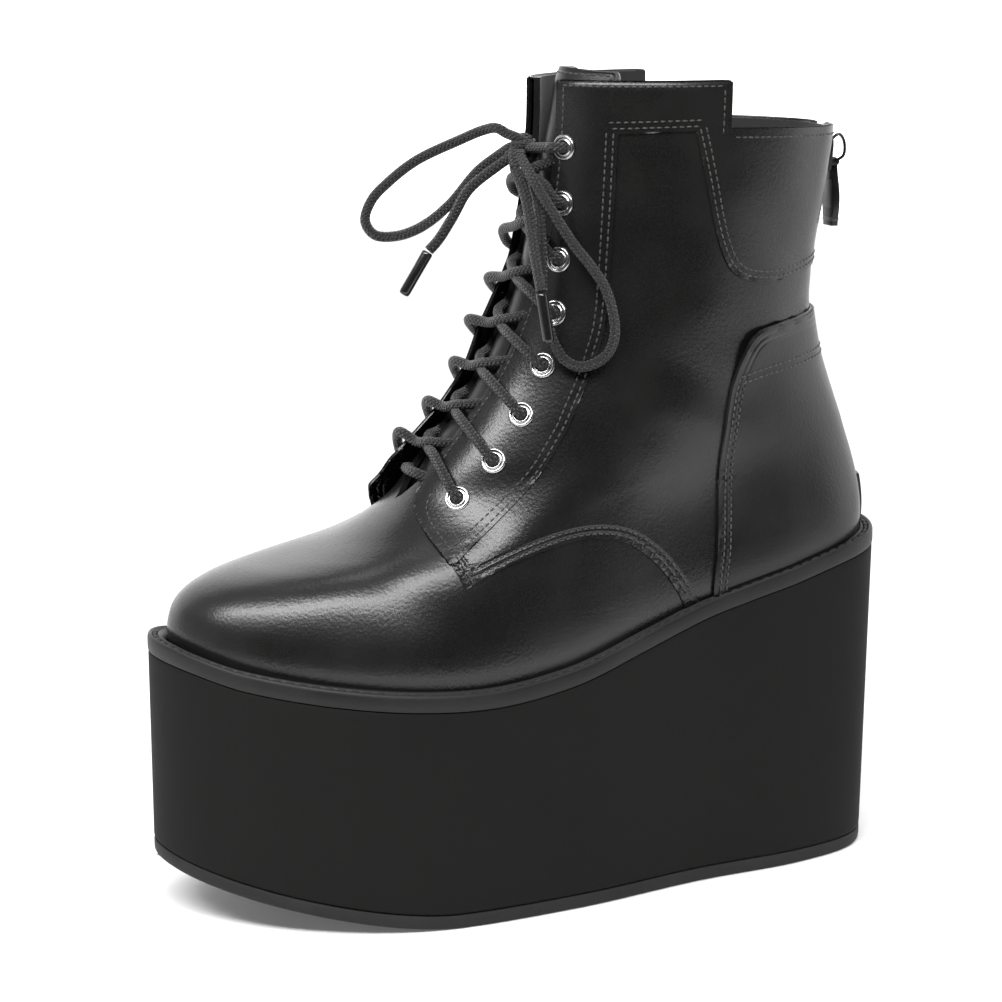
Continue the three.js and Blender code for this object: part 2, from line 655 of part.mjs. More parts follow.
function bow() {
  const ball = new THREE.SphereGeometry(1, 10, 8).scale(knot.halfX, knot.halfY, knot.halfZ);
  addPiece('lace_knot', ball.translate(knot.x, knot.y, knot.z), 'cord');
  for (const [name, route] of Object.entries(bowRoutes)) {
    const points = route.map((p) => vec(...p));
    const length = new THREE.CatmullRomCurve3(points, false, 'centripetal').getLength();
    addPiece(name, tube(points, lace.diameter, Math.round(length / (2 * lace.diameter))), 'cord');
  }
  for (const [name, tip] of Object.entries(agletTips)) {
    const end = vec(...bowRoutes[name].at(-1));
    const along = vec(...tip).sub(end).normalize();
    const start = end.clone().addScaledVector(along, 2 * gap);
    const finish = start.clone().addScaledVector(along, aglet.length);
    addPiece(name.replace('lace_end', 'aglet'), tube([start, finish], aglet.diameter, 1), 'darkMetal');
  }
}

// ---- zip slider and its pull ----
const plateMiddle = slider.pivotZ + 1.5;
const plateFace = backLine(plateMiddle + slider.high * slider.tall, zip.stand + zip.thick + gap).y;
const pivot = vec(0, plateFace + slider.thick + gap + pull.eye, slider.pivotZ);

function crossCylinder(radius, width, centre, x = 0) {
  return new THREE.CylinderGeometry(radius, radius, width, 14).rotateZ(Math.PI / 2).translate(x, centre.y, centre.z);
}

function zipSlider() {
  const at = pivot;
  const { width, tall, thick, lug, low, high } = slider;
  const shield = [[-0.5, high], [0.5, high], [0.5, 0.1], [0.36, -low], [-0.36, -low], [-0.5, 0.1]];
  const outline = new THREE.Shape(shield.map(([x, z]) => new THREE.Vector2(x * width, z * tall)));
  const plate = new THREE.ExtrudeGeometry(outline, { depth: thick, bevelEnabled: false });
  plate.rotateX(Math.PI / 2).translate(0, plateFace + thick, plateMiddle);
  let body = toManifold(plate);
  for (const side of [-1, 1]) {
    const x = side * (pull.neck / 2 + gap + lug / 2);
    const foot = vec(x - lug / 2, plateFace + thick - 0.2, at.z - 1.3);
    const top = vec(x + lug / 2, at.y, at.z + 1.3);
    body = body.add(toManifold(box(foot, top))).add(toManifold(crossCylinder(1.3, lug, at, x)));
  }
  body = body.add(toManifold(crossCylinder(slider.pin, pull.neck + 2 * gap + lug, at)));
  addPiece('zip_slider', fromManifold(body), 'darkMetal');
}

function zipPull() {
  const at = pivot;
  const { length, width, neck, end, thick, eye, bore } = pull;
  const outline = new THREE.Shape();
  outline.moveTo(-neck / 2, 0);
  outline.bezierCurveTo(-neck / 2, -0.25 * length, -width / 2, -0.35 * length, -width / 2, -0.6 * length);
  outline.bezierCurveTo(-width / 2, -0.8 * length, -end / 2, -0.9 * length, -end / 2, -length);
  outline.lineTo(end / 2, -length);
  outline.bezierCurveTo(end / 2, -0.9 * length, width / 2, -0.8 * length, width / 2, -0.6 * length);
  outline.bezierCurveTo(width / 2, -0.35 * length, neck / 2, -0.25 * length, neck / 2, 0);
  const leaf = new THREE.ExtrudeGeometry(outline, { depth: thick, bevelEnabled: false, curveSegments: 6 });
  leaf.rotateX(Math.PI / 2).translate(0, at.y + thick / 2, at.z);
  const body = toManifold(leaf)
    .add(toManifold(crossCylinder(eye, neck, at)))
    .subtract(toManifold(crossCylinder(bore, neck * 2, at)));
  addPiece('zip_pull', fromManifold(body), 'darkMetal');
}

outsole();
platform();
welt();
insole();
upper();
heelCounter('counter_outer', counter.slit, counter.side);
heelCounter('counter_inner', -counter.side, -counter.slit);
backStay();
zipChain();
tongue();
eyelets();
laceCrossings();
bow();
zipSlider();
zipPull();

export default boot;
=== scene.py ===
import bpy, bmesh, json, math
import numpy as np
from mathutils import Matrix, Vector


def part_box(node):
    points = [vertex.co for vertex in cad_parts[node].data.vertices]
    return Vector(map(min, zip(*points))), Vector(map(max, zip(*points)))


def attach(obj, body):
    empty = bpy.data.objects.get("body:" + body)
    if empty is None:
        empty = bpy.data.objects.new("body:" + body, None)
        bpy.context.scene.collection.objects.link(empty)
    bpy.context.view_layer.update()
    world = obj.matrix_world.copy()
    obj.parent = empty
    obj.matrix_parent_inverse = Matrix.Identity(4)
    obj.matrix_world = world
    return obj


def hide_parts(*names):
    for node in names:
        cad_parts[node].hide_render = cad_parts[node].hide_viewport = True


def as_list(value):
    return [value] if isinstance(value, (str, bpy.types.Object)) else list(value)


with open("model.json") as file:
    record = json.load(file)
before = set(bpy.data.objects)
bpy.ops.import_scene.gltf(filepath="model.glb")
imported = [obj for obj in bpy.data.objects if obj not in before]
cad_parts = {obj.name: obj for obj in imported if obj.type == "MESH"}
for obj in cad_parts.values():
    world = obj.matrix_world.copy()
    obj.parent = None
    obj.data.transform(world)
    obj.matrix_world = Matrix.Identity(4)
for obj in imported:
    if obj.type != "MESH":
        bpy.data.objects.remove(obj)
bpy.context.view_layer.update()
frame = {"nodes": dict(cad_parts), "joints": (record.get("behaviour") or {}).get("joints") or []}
scene = bpy.context.scene
mm = 0.001  # the tables below are in millimetres

# ---- camera ----
camera = {"x": 849.6, "y": -335.0, "z": 336.0, "lens": 95.46, "turn": 21.518, "swing": -0.494, "down": 12.449,
    "roll": -0.157}


def aimCamera():
    turn, swing, down = (math.radians(camera[k]) for k in ("turn", "swing", "down"))
    right, ahead = Vector((math.sin(turn), math.cos(turn), 0)), Vector((-math.cos(turn), math.sin(turn), 0))
    across = right * math.cos(swing) - ahead * math.sin(swing)
    level = ahead * math.cos(swing) + right * math.sin(swing)
    forward = level * math.cos(down) - Vector((0, 0, math.sin(down)))
    upward = across.cross(forward)
    lens = bpy.data.cameras.new("viewCamera")
    lens.lens, lens.sensor_width, lens.clip_end = camera["lens"], 36, 20
    eye = bpy.data.objects.new("viewCamera", lens)
    axes = Matrix((across, upward, -forward)).transposed().to_4x4()
    spot = Matrix.Translation(Vector((camera["x"], camera["y"], camera["z"])) * mm)
    eye.matrix_world = spot @ axes @ Matrix.Rotation(math.radians(camera["roll"]), 4, "Z")
    scene.collection.objects.link(eye)
    scene.camera = eye


aimCamera()

# ---- lines ----
def smoothLine(points, step):
    # a round curve through every point, with points about a step apart
    p = np.asarray(points, float)
    p = np.vstack([2 * p[0] - p[1], p, 2 * p[-1] - p[-2]])
    out = []
    for a, b, c, d in zip(p, p[1:], p[2:], p[3:]):
        ta, tb, tc = (max(np.linalg.norm(v) ** 0.5, 1e-4) for v in (b - a, c - b, d - c))
        m1 = ((b - a) / ta - (c - a) / (ta + tb) + (c - b) / tb) * tb
        m2 = ((c - b) / tb - (d - b) / (tb + tc) + (d - c) / tc) * tb
        n = max(2, math.ceil(np.linalg.norm(c - b) / step))
        t = np.arange(n)[:, None] / n
        out.append((2 * t**3 - 3 * t**2 + 1) * b + (t**3 - 2 * t**2 + t) * m1 + (3 * t**2 - 2 * t**3) * c
            + (t**3 - t**2) * m2)
    return np.vstack(out + [p[-2:-1]])


def evenly(line, step):
    along = np.concatenate([[0], np.cumsum(np.linalg.norm(np.diff(line, axis=0), axis=1))])
    t = np.linspace(0, along[-1], max(2, round(along[-1] / step)) + 1)
    return np.stack([np.interp(t, along, line[:, k]) for k in range(line.shape[1])], 1)


def toLine(points, line):
    # shortest distance from each point to a line of straight stretches
    a, b = line[:-1], line[1:]
    best = np.full(len(points), 1e9)
    for start, end in zip(a, b):
        along = end - start
        share = np.clip((points - start) @ along / max(along @ along, 1e-12), 0, 1)
        best = np.minimum(best, np.linalg.norm(points - start - share[:, None] * along, axis=1))
    return best


# ---- making meshes ----
def finishPiece(name, bm, paints, sharp=38):
    mesh = bpy.data.meshes.new(name)
    bm.to_mesh(mesh)
    bm.free()
    mesh.polygons.foreach_set("use_smooth", [True] * len(mesh.polygons))
    mesh.set_sharp_from_angle(angle=math.radians(sharp))
    for paint in paints:
        mesh.materials.append(paint)
    piece = bpy.data.objects.new(name, mesh)
    scene.collection.objects.link(piece)
    return piece


def bakeDown(piece, sharp=38):
    # applies the modifiers, so that the edges can be marked sharp on the finished mesh
    shape = bpy.data.meshes.new_from_object(piece.evaluated_get(bpy.context.evaluated_depsgraph_get()))
    piece.modifiers.clear()
    old, piece.data = piece.data, shape
    bpy.data.meshes.remove(old)
    shape.name = piece.name
    shape.set_sharp_from_angle(angle=math.radians(sharp))
    return piece


def onBody(piece, slot, *nodes, body="boot"):
    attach(piece, body)
    if nodes:
        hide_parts(*nodes)
    return piece


def layGrid(bm, across, along, place):
    # a grid whose corners are moved onto a form: place takes shares 0..1 each way and gives millimetres
    bmesh.ops.create_grid(bm, x_segments=across, y_segments=along, size=1)
    share = (np.array([v.co[:2] for v in bm.verts]) + 1) / 2
    for v, spot in zip(bm.verts, place(share[:, 0], share[:, 1]) * mm):
        v.co = spot
    return share


def markEdge(bm, away):
    # how far each corner is from the leather's edge, for the stitch dips
    layer = bm.verts.layers.float.new("fromEdge")
    for v, far in zip(bm.verts, away):
        v[layer] = far


def turnFaces(bm, way):
    # turns every face over unless they look the given way on the whole
    bm.normal_update()
    if sum(f.normal.dot(Vector(way)) for f in bm.faces) < 0:
        bmesh.ops.reverse_faces(bm, faces=bm.faces)


def thicken(piece, thick, **more):
    wall = piece.modifiers.new("wall", "SOLIDIFY")
    wall.thickness, wall.offset = thick * mm, -1
    for key, value in more.items():
        setattr(wall, key, value)
    return piece


def addBox(bm, middle, size, slope=0.0):
    place = Matrix.Translation(Vector(middle) * mm) @ Matrix.Rotation(slope, 4, "X")
    bmesh.ops.create_cube(bm, size=1, matrix=place @ Matrix.Diagonal(Vector((*(np.array(size) * mm), 1))))


def weld(bm, dist=1e-6):
    bmesh.ops.remove_doubles(bm, verts=bm.verts, dist=dist)
    bmesh.ops.recalc_face_normals(bm, faces=bm.faces)


def spinProfile(bm, profile, steps, closed=False):
    # radius and height pairs, spun round the upright axis
    verts = [bm.verts.new((r * mm, 0, h * mm)) for r, h in profile]
    edges = [bm.edges.new(pair) for pair in zip(verts, verts[1:] + verts[:closed])]
    bmesh.ops.spin(bm, geom=verts + edges, cent=(0, 0, 0), axis=(0, 0, 1), angle=2 * math.pi, steps=steps,
        use_merge=True)
    weld(bm)


def upTo(way, at):
    # the matrix that stands a spun piece at a spot in millimetres, with its axis along way
    turn = Vector((0, 0, 1)).rotation_difference(Vector(way)).to_matrix().to_4x4()
    return Matrix.Translation(Vector(at) * mm) @ turn


def addCopies(bm, one, places):
    # one is the bmesh to copy, and is used up
    mesh = bpy.data.meshes.new("oneCopy")
    one.to_mesh(mesh)
    one.free()
    for place in places:
        old = len(bm.verts)
        bm.from_mesh(mesh)
        bm.verts.ensure_lookup_table()
        bmesh.ops.transform(bm, verts=bm.verts[old:], matrix=place)
    bpy.data.meshes.remove(mesh)


def lofted(name, across, along, place, paints, sharp=38):
    bm = bmesh.new()
    layGrid(bm, across, along, place)
    bmesh.ops.remove_doubles(bm, verts=bm.verts, dist=2e-6)
    bmesh.ops.dissolve_degenerate(bm, edges=bm.edges, dist=1e-6)
    bmesh.ops.recalc_face_normals(bm, faces=bm.faces)
    return finishPiece(name, bm, paints, sharp)


def alongFrames(line):
    # a steady side and up direction at each point of a line
    ahead = np.gradient(line, axis=0)
    ahead /= np.linalg.norm(ahead, axis=1)[:, None]
    side = np.cross(ahead[0], (0, 0, 1) if abs(ahead[0][2]) < 0.9 else (1, 0, 0))
    sides = []
    for t in ahead:
        side = side - t * (side @ t)
        side = side / np.linalg.norm(side)
        sides.append(side)
    return np.array(sides), np.cross(ahead, np.array(sides))


def addCordTube(bm, line, radius, sides=12):
    # a grid rolled up round the line, in metres. Every corner keeps where it is along and round the cord
    layer = bm.verts.layers.float_vector.get("cordPlace") or bm.verts.layers.float_vector.new("cordPlace")
    side, up = alongFrames(line)
    along = np.concatenate([[0], np.cumsum(np.linalg.norm(np.diff(line, axis=0), axis=1))])
    made = bmesh.ops.create_grid(bm, x_segments=sides, y_segments=len(line) - 1, size=1)["verts"]
    for v in made:
        turn, n = math.pi * (v.co.x + 1), round((v.co.y + 1) / 2 * (len(line) - 1))
        v.co = Vector(line[n] + radius * (side[n] * math.cos(turn) + up[n] * math.sin(turn)))
        v[layer] = (along[n], math.cos(turn), math.sin(turn))
    bmesh.ops.remove_doubles(bm, verts=made, dist=1e-6)
    bmesh.ops.edgeloop_fill(bm, edges=[e for e in bm.edges if e.is_boundary])
    bmesh.ops.recalc_face_normals(bm, faces=bm.faces)


# ---- paints ----
def newPaint(name, **shine):
    paint = bpy.data.materials.new(name)
    paint.use_nodes = True
    tree = paint.node_tree
    shader = tree.nodes["Principled BSDF"]
    for key, value in shine.items():
        shader.inputs[key.replace("_", " ").title().replace("Ior", "IOR")].default_value = value
    return paint, tree, shader


def mathNode(tree, kind, a, b=None):
    node = tree.nodes.new("ShaderNodeMath")
    node.operation = kind
    for socket, value in zip(node.inputs, (a, b)):
        if value is None:
            continue
        if isinstance(value, (int, float)):
            socket.default_value = value
        else:
            tree.links.new(value, socket)
    return node.outputs[0]


def rangeNode(tree, value, low, high, toLow, toHigh, smooth=False):
    node = tree.nodes.new("ShaderNodeMapRange")
    node.interpolation_type = "SMOOTHSTEP" if smooth else "LINEAR"
    for k, number in enumerate((low, high, toLow, toHigh), 1):
        node.inputs[k].default_value = number
    tree.links.new(value, node.inputs[0])
    return node.outputs[0]


def noiseNode(tree, place, scale, detail, rough=0.5):
    node = tree.nodes.new("ShaderNodeTexNoise")
    for key, value in (("Scale", scale), ("Detail", detail), ("Roughness", rough)):
        node.inputs[key].default_value = value
    tree.links.new(place, node.inputs["Vector"])
    return node.outputs[0]


def cellNode(tree, place, scale):
    node = tree.nodes.new("ShaderNodeTexVoronoi")
    node.feature = "SMOOTH_F1"
    node.inputs["Scale"].default_value = scale
    tree.links.new(place, node.inputs["Vector"])
    return node.outputs[0]


def bumpNode(tree, height, depth, below=None):
    node = tree.nodes.new("ShaderNodeBump")
    node.inputs["Strength"].default_value, node.inputs["Distance"].default_value = 1, depth * mm
    tree.links.new(height, node.inputs["Height"])
    if below is not None:
        tree.links.new(below, node.inputs["Normal"])
    return node.outputs[0]


def mixColour(tree, share, low, high, socket):
    # a lone number is a grey
    node = tree.nodes.new("ShaderNodeMix")
    node.data_type = "RGBA"
    for k, value in ((6, low), (7, high)):
        node.inputs[k].default_value = (value,) * 3 + (1,) if isinstance(value, float) else (*value, 1)
    tree.links.new(share, node.inputs[0])
    tree.links.new(node.outputs[2], socket)


def objectPlace(tree):
    return tree.nodes.new("ShaderNodeTexCoord").outputs["Object"]


def mottle(tree, shader, cloud, fine, span, colours, gloss, fineShare):
    # colour and roughness that drift with a slow cloud, with a little of the fine grain in the roughness
    mixColour(tree, rangeNode(tree, cloud, *span, 0, 1, True), *colours, shader.inputs["Base Color"])
    patch = rangeNode(tree, cloud, 0.3, 0.7, *gloss)
    grain = mathNode(tree, "MULTIPLY", fine, fineShare)
    tree.links.new(mathNode(tree, "ADD", patch, grain), shader.inputs["Roughness"])


# rows are how far in from the edge the stitches run, and the dip is what the thread pulls down
leatherLook = {
    "black": (0.0055, 0.006, 0.0054), "worn": (0.0105, 0.0112, 0.0102), "cloudScale": 28,
    "grainDepth": 0.05, "grainScale": 950, "fineScale": 2100, "rows": (1.5, 3.6), "dipHalf": 0.95, "dipDepth": 0.22,
}


def leatherPaint(name, gloss=(0.24, 0.36), specular=0.42, rows=leatherLook["rows"]):
    paint, tree, shader = newPaint(name, specular_ior_level=specular)
    place = objectPlace(tree)
    cloud = noiseNode(tree, place, leatherLook["cloudScale"], 3)
    grain = cellNode(tree, place, leatherLook["grainScale"])
    fine = noiseNode(tree, place, leatherLook["fineScale"], 3, 0.6)
    mottle(tree, shader, cloud, fine, (0.35, 0.75), (leatherLook["black"], leatherLook["worn"]), gloss, 0.07)
    edge = tree.nodes.new("ShaderNodeAttribute")
    edge.attribute_name = "fromEdge"
    pulled = None
    for row in rows:
        away = mathNode(tree, "ABSOLUTE", mathNode(tree, "SUBTRACT", edge.outputs["Fac"], row))
        dip = rangeNode(tree, away, 0, leatherLook["dipHalf"], 1, 0, True)
        pulled = dip if pulled is None else mathNode(tree, "MAXIMUM", pulled, dip)
    pebble = mathNode(tree, "ADD", grain, mathNode(tree, "MULTIPLY", fine, 0.6))
    surface = bumpNode(tree, pebble, leatherLook["grainDepth"])
    if pulled is not None:
        surface = bumpNode(tree, mathNode(tree, "MULTIPLY", pulled, -1), leatherLook["dipDepth"], surface)
    tree.links.new(surface, shader.inputs["Normal"])
    return paint


def plainPaint(name, dark, light, gloss, grainScale, grainDepth, metal=0.0, specular=0.5, cloudScale=40, sheen=0.0):
    paint, tree, shader = newPaint(name, metallic=metal, specular_ior_level=specular, sheen_weight=sheen)
    place = objectPlace(tree)
    cloud = noiseNode(tree, place, cloudScale, 4, 0.55)
    grain = noiseNode(tree, place, grainScale, 3, 0.6)
    mottle(tree, shader, cloud, grain, (0.3, 0.7), (dark, light), gloss, 0.08)
    tree.links.new(bumpNode(tree, grain, grainDepth), shader.inputs["Normal"])
    return paint


# the light grey on the braid is painted glint: bright specks on the crests of the strands, given with the noise scale
# of the specks
braid = {"plaits": 6, "pitch": 1.55, "black": (0.008, 0.008, 0.0085), "glintFleck": 0.1, "glintFleckScale": 2600}


def braidPaint(name):
    # two sets of strands that wind round the cord either way and pass over each other
    paint, tree, shader = newPaint(name, specular_ior_level=0.45, sheen_weight=0.15, sheen_roughness=0.4)
    spot = tree.nodes.new("ShaderNodeAttribute")
    spot.attribute_name = "cordPlace"
    parts = tree.nodes.new("ShaderNodeSeparateXYZ")
    tree.links.new(spot.outputs["Vector"], parts.inputs[0])
    turn = mathNode(tree, "ARCTAN2", parts.outputs[2], parts.outputs[1])
    wound = mathNode(tree, "MULTIPLY", turn, braid["plaits"] / 2)
    run = mathNode(tree, "MULTIPLY", parts.outputs[0], 2 * math.pi / (2 * braid["pitch"] * mm))
    left = mathNode(tree, "SINE", mathNode(tree, "ADD", run, wound))
    right = mathNode(tree, "SINE", mathNode(tree, "SUBTRACT", run, wound))
    rise = mathNode(tree, "MULTIPLY", left, right)
    # painted glint: noise specks, kept to the strand crests, turn the black a light grey where light would catch the
    # waxed braid; the same noise also varies the roughness
    glintFleck = noiseNode(tree, objectPlace(tree), braid["glintFleckScale"], 2, 0.6)
    top, glintFlecked = rangeNode(tree, rise, 0.15, 0.9, 0, 1, True), rangeNode(tree, glintFleck, 0.5, 0.68, 0, 1, True)
    over = mathNode(tree, "MULTIPLY", top, glintFlecked)
    mixColour(tree, over, braid["black"], braid["glintFleck"], shader.inputs["Base Color"])
    tree.links.new(rangeNode(tree, glintFleck, 0.3, 0.7, 0.34, 0.6), shader.inputs["Roughness"])
    tree.links.new(bumpNode(tree, mathNode(tree, "ABSOLUTE", rise), 0.5), shader.inputs["Normal"])
    return paint


smoothLeather = leatherPaint("smooth leather", gloss=(0.225, 0.262), specular=0.5)
facingLeather = leatherPaint("facing leather", gloss=(0.215, 0.26), specular=0.5, rows=())
tongueLeather = leatherPaint("tongue leather", gloss=(0.26, 0.36), rows=(1.6,))
heelLeather = leatherPaint("heel leather", gloss=(0.29, 0.335), specular=0.42)
liningCloth = plainPaint("lining", 0.018, 0.03, (0.7, 0.85), 1500, 0.08, specular=0.25, sheen=0.2)
foamSkin = plainPaint("platform foam", (0.0062, 0.0068, 0.006), (0.0082, 0.009, 0.008), (0.62, 0.75), 900, 0.05,
    specular=0.14, cloudScale=12)
treadRubber = plainPaint("tread rubber", 0.012, 0.02, (0.6, 0.75), 700, 0.06, specular=0.3)
weltRubber = plainPaint("welt rubber", (0.008, 0.0085, 0.008), (0.013, 0.0135, 0.013), (0.4, 0.52), 1100, 0.05,
    specular=0.3)
thread = plainPaint("thread", 0.02, 0.06, (0.4, 0.55), 5200, 0.08, specular=0.5, cloudScale=500, sheen=0.1)
ropeThread = plainPaint("welt thread", 0.008, 0.02, (0.45, 0.6), 4200, 0.12, specular=0.4, cloudScale=300)
eyeletSteel = plainPaint("eyelet steel", (0.46, 0.46, 0.47), (0.56, 0.56, 0.57), (0.14, 0.22), 900, 0.004, metal=1)
zipBlack = plainPaint("zip black", (0.012, 0.012, 0.013), (0.03, 0.03, 0.032), (0.2, 0.32), 900, 0.01, metal=0.6)
pullBlack = plainPaint("pull black", (0.02, 0.02, 0.021), (0.045, 0.045, 0.046), (0.2, 0.34), 700, 0.02, metal=0.7)
zipTape = plainPaint("zip tape", 0.01, 0.018, (0.7, 0.85), 2400, 0.15, specular=0.3, sheen=0.15)
agletPlastic = plainPaint("aglet", 0.008, 0.016, (0.08, 0.16), 400, 0.01, specular=0.6)
pullInlay = plainPaint("pull inlay", (0.05, 0.05, 0.052), (0.11, 0.11, 0.112), (0.3, 0.42), 900, 0.02, metal=0.3)
waxedBraid = braidPaint("waxed braid")
print("paints ready")

# ---- the bow ----
lace = {"thick": 3.6, "ring": 1.1, "agletGap": 0.6}
agletProfile = [(0, 0), (1.5, 0), (1.9, 0.35), (1.95, 1.2), (1.9, 8), (1.93, 15.4), (1.75, 16.5), (1.2, 16.9), (0, 17)]
bowRoutes = {
    "lace_loop_left": [(-3.8, -4.6, 262.8), (-6, -7.5, 264.6), (-10, -11, 263.6), (-15, -18, 260), (-22, -31, 253),
        (-26, -40, 245.5), (-28.5, -45.5, 239), (-29.5, -47.5, 232), (-27.5, -45, 227.4), (-24, -39, 226.8),
        (-19, -31.5, 229.8), (-12, -23, 238), (-7, -14, 250), (-3.5, -7, 256)],
    "lace_loop_right": [(5, -3.4, 255.6), (10.5, -3, 252.5), (17, -2, 247), (21.5, 2, 238.5), (26, 8, 227.5),
        (31, 13, 219.5), (33.5, 17, 212), (36, 19, 200), (36.5, 18, 194.5), (36, 15, 190), (34, 8, 187),
        (31.5, 3, 189), (28, 0, 195), (25, -2.6, 209), (21.4, -1.6, 225), (15.6, -0.6, 240), (8.6, -0.6, 249)],
    "lace_end_left": [(1, -6, 254.6), (2, -10, 252.5), (-1, -19.5, 244.5), (-4, -24, 235.5), (-6, -29, 227),
        (-7, -32, 223.5)],
    "lace_end_right": [(7, -5.8, 251.8), (14, -4.8, 243), (20.5, -5.4, 233), (25.5, -6, 225), (29.5, -6, 217),
        (31.5, -6, 213)],
}
agletTips = {"lace_end_left": (-8, -40.5, 209.5), "lace_end_right": (34.5, -4.5, 196)}
# wraps: radius, tube, tilt, shift to the outside. tails: from a bow part's start to a spot inside the knot
knot = {
    "middle": (-1, 0.6, 258), "wraps": [(3.0, 1.7, 0.1, 0.0), (2.6, 1.7, 0.55, 2.6)],
    "tails": [((-3.8, -4.6, 262.8), (3.5, 3.2, 258)), ((5, -3.4, 255.6), (-3, 2.5, 257)),
        ((-3.5, -7, 256), (2.5, -1, 259)), ((8.6, -0.6, 249), (0, -1.5, 257)), ((1, -6, 254.6), (-2, -0.5, 259)),
        ((7, -5.8, 251.8), (-1, -2.8, 258.6))],
}


def addLace(bm, route, fine=0.4, ring=0.95):
    # a length of lace along a route in millimetres
    line = evenly(smoothLine(route, fine), ring) * mm
    addCordTube(bm, line, lace["thick"] / 2 * mm)
    return line


def makeAglet(name, end, tip):
    end, tip = np.array(end, float), np.array(tip, float)
    ahead = (tip - end) / np.linalg.norm(tip - end)
    bm = bmesh.new()
    spinProfile(bm, agletProfile, 20)
    bmesh.ops.transform(bm, verts=bm.verts, matrix=upTo(ahead, end + ahead * lace["agletGap"]))
    return onBody(finishPiece(name, bm, [agletPlastic], 50), "aglet_plastic")


def makeKnot():
    bm = bmesh.new()
    for radius, tube, tilt, shift in knot["wraps"]:
        turn = np.linspace(0, 2 * math.pi * 1.12, 30)
        ring = np.stack([np.full_like(turn, shift - 1.3) + 2.4 * turn / turn[-1], radius * np.cos(turn),
            radius * 1.12 * np.sin(turn)], 1)
        swing = np.array([[math.cos(tilt), 0, math.sin(tilt)], [0, 1, 0], [-math.sin(tilt), 0, math.cos(tilt)]])
        addCordTube(bm, (ring @ swing.T + np.array(knot["middle"])) * mm, tube * mm)
    for start, end in knot["tails"]:
        middle = (np.array(start) + np.array(end)) / 2 + np.array((0, -0.6, 0.8))
        addLace(bm, [start, middle, end], 0.5, 1.0)
    return onBody(finishPiece("bowKnot", bm, [waxedBraid]), "lace_cord")


def makeBow():
    knotPiece = makeKnot()
    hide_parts("lace_knot")
    for name, route in bowRoutes.items():
        bm = bmesh.new()
        line = addLace(bm, route, 0.5, lace["ring"])
        cord = onBody(finishPiece(name.replace("lace_", "bow_"), bm, [waxedBraid]), "lace_cord", name)
        # an end gets its aglet and the CAD aglet is hidden; a carried list for the knot and the aglet is made but not
        # used
        carried, end = [knotPiece] if name == "lace_loop_left" else [], "object"
        if name in agletTips:
            carried, end = [makeAglet(name.replace("lace_end", "agletOn"), route[-1], agletTips[name])], "fitting"
            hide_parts(name.replace("lace_end", "aglet"))
        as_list(carried)


makeBow()
print("bow tied")

# ---- the last: the form that every leather piece lies on ----
soleLong, ballOut, ballIn, toeShift, heelLean = 268, 55, 46.3, -6, 2.4
toeSpring, springStart, springPower, treadThick, gap = 19, -44, 1.55, 5, 0.3
shaftFullness, topRow, rearRow, columns, stepColumn = 0.86, 22, 21, 44, 10
platformTop = np.array([(-134, 91), (-112, 85), (-86, 80.4), (-57, 77.2), (-28, 76.4), (0, 80.2), (26, 88),
    (54, 96.6), (88, 104.4), (117, 110.6), (140, 113.6)])
footOut = [0, 25.5, 44.5, 55, 51.5, 41.5, 36.8, 25.5, 0]
footIn = [0, 22, 40.5, 46.3, 38.5, 33.5, 34.5, 24.5, 0]
footRound = np.array(footOut + [-w for w in footIn[7:0:-1]])
# front y and z, back y and z, outer and inner half width, foot share, bow, half gap between the facings
lastRows = np.array([
    (-126.8, 91, 126.4, 112.8, 50, 41.5, 1, 1, 0), (-127.4, 97.2, 127, 119.4, 50.4, 41.9, 1, 1, 0),
    (-126.8, 102, 127.4, 124.4, 50.6, 42.2, 1, 0.96, 0), (-124.8, 107.4, 127.2, 129.6, 49.6, 41.8, 0.98, 0.86, 0),
    (-120.2, 112.2, 126.4, 135.4, 47.6, 40.6, 0.94, 0.72, 0), (-112.8, 115.8, 125, 141.4, 45.4, 39.2, 0.88, 0.56, 0),
    (-102.8, 118.5, 123.2, 147.6, 43.4, 37.9, 0.8, 0.42, 0), (-90.8, 120.5, 121, 154, 41.8, 37, 0.7, 0.29, 0),
    (-78.2, 123, 118.8, 160.6, 40.6, 36.4, 0.58, 0.18, 0), (-66.2, 126.8, 116.2, 167.4, 39.8, 36, 0.44, 0.1, 0),
    (-56, 132.2, 113.6, 174.4, 39, 35.8, 0.3, 0.04, 0), (-47.4, 139, 111.2, 181.4, 38.2, 35.6, 0.18, 0, 0),
    (-39.5, 149, 109.4, 188.4, 37.4, 35.4, 0.08, 0, 8.6), (-31.6, 158.6, 108, 195, 36.6, 35.2, 0.02, 0, 9.2),
    (-23.4, 168.6, 107.2, 201.6, 36, 35, 0, 0, 9.6), (-15.4, 180, 107, 208.4, 35.6, 34.8, 0, 0, 10),
    (-8.8, 193, 107.4, 215.6, 35.4, 34.8, 0, 0, 10.4), (-3.6, 206.6, 108.2, 223.4, 35.2, 34.8, 0, 0, 10.8),
    (0.4, 221, 109.4, 232, 35.2, 34.8, 0, 0, 11), (3.2, 236, 110.8, 241.6, 35.4, 35, 0, 0, 11.2),
    (5.2, 251, 112.2, 252, 35.6, 35.4, 0, 0, 11.4), (6.4, 266.6, 113.6, 263, 36, 35.8, 0, 0, 11.6),
    (6.6, 281, 113.8, 281, 36.2, 36, 0, 0, 11.8)])


def cubicMix(a, b, c, d, f):
    return b + 0.5 * f * (c - a + f * (2 * a - 5 * b + 4 * c - d + f * (3 * (b - c) + d - a)))


def inTable(values, row):
    top = len(values) - 1
    row = np.clip(row, 0, top)
    i = np.minimum(np.floor(row).astype(int), top - 1)
    pick = lambda k: values[np.clip(k, 0, top)]
    return cubicMix(pick(i - 1), pick(i), pick(i + 1), pick(i + 2), row - i)


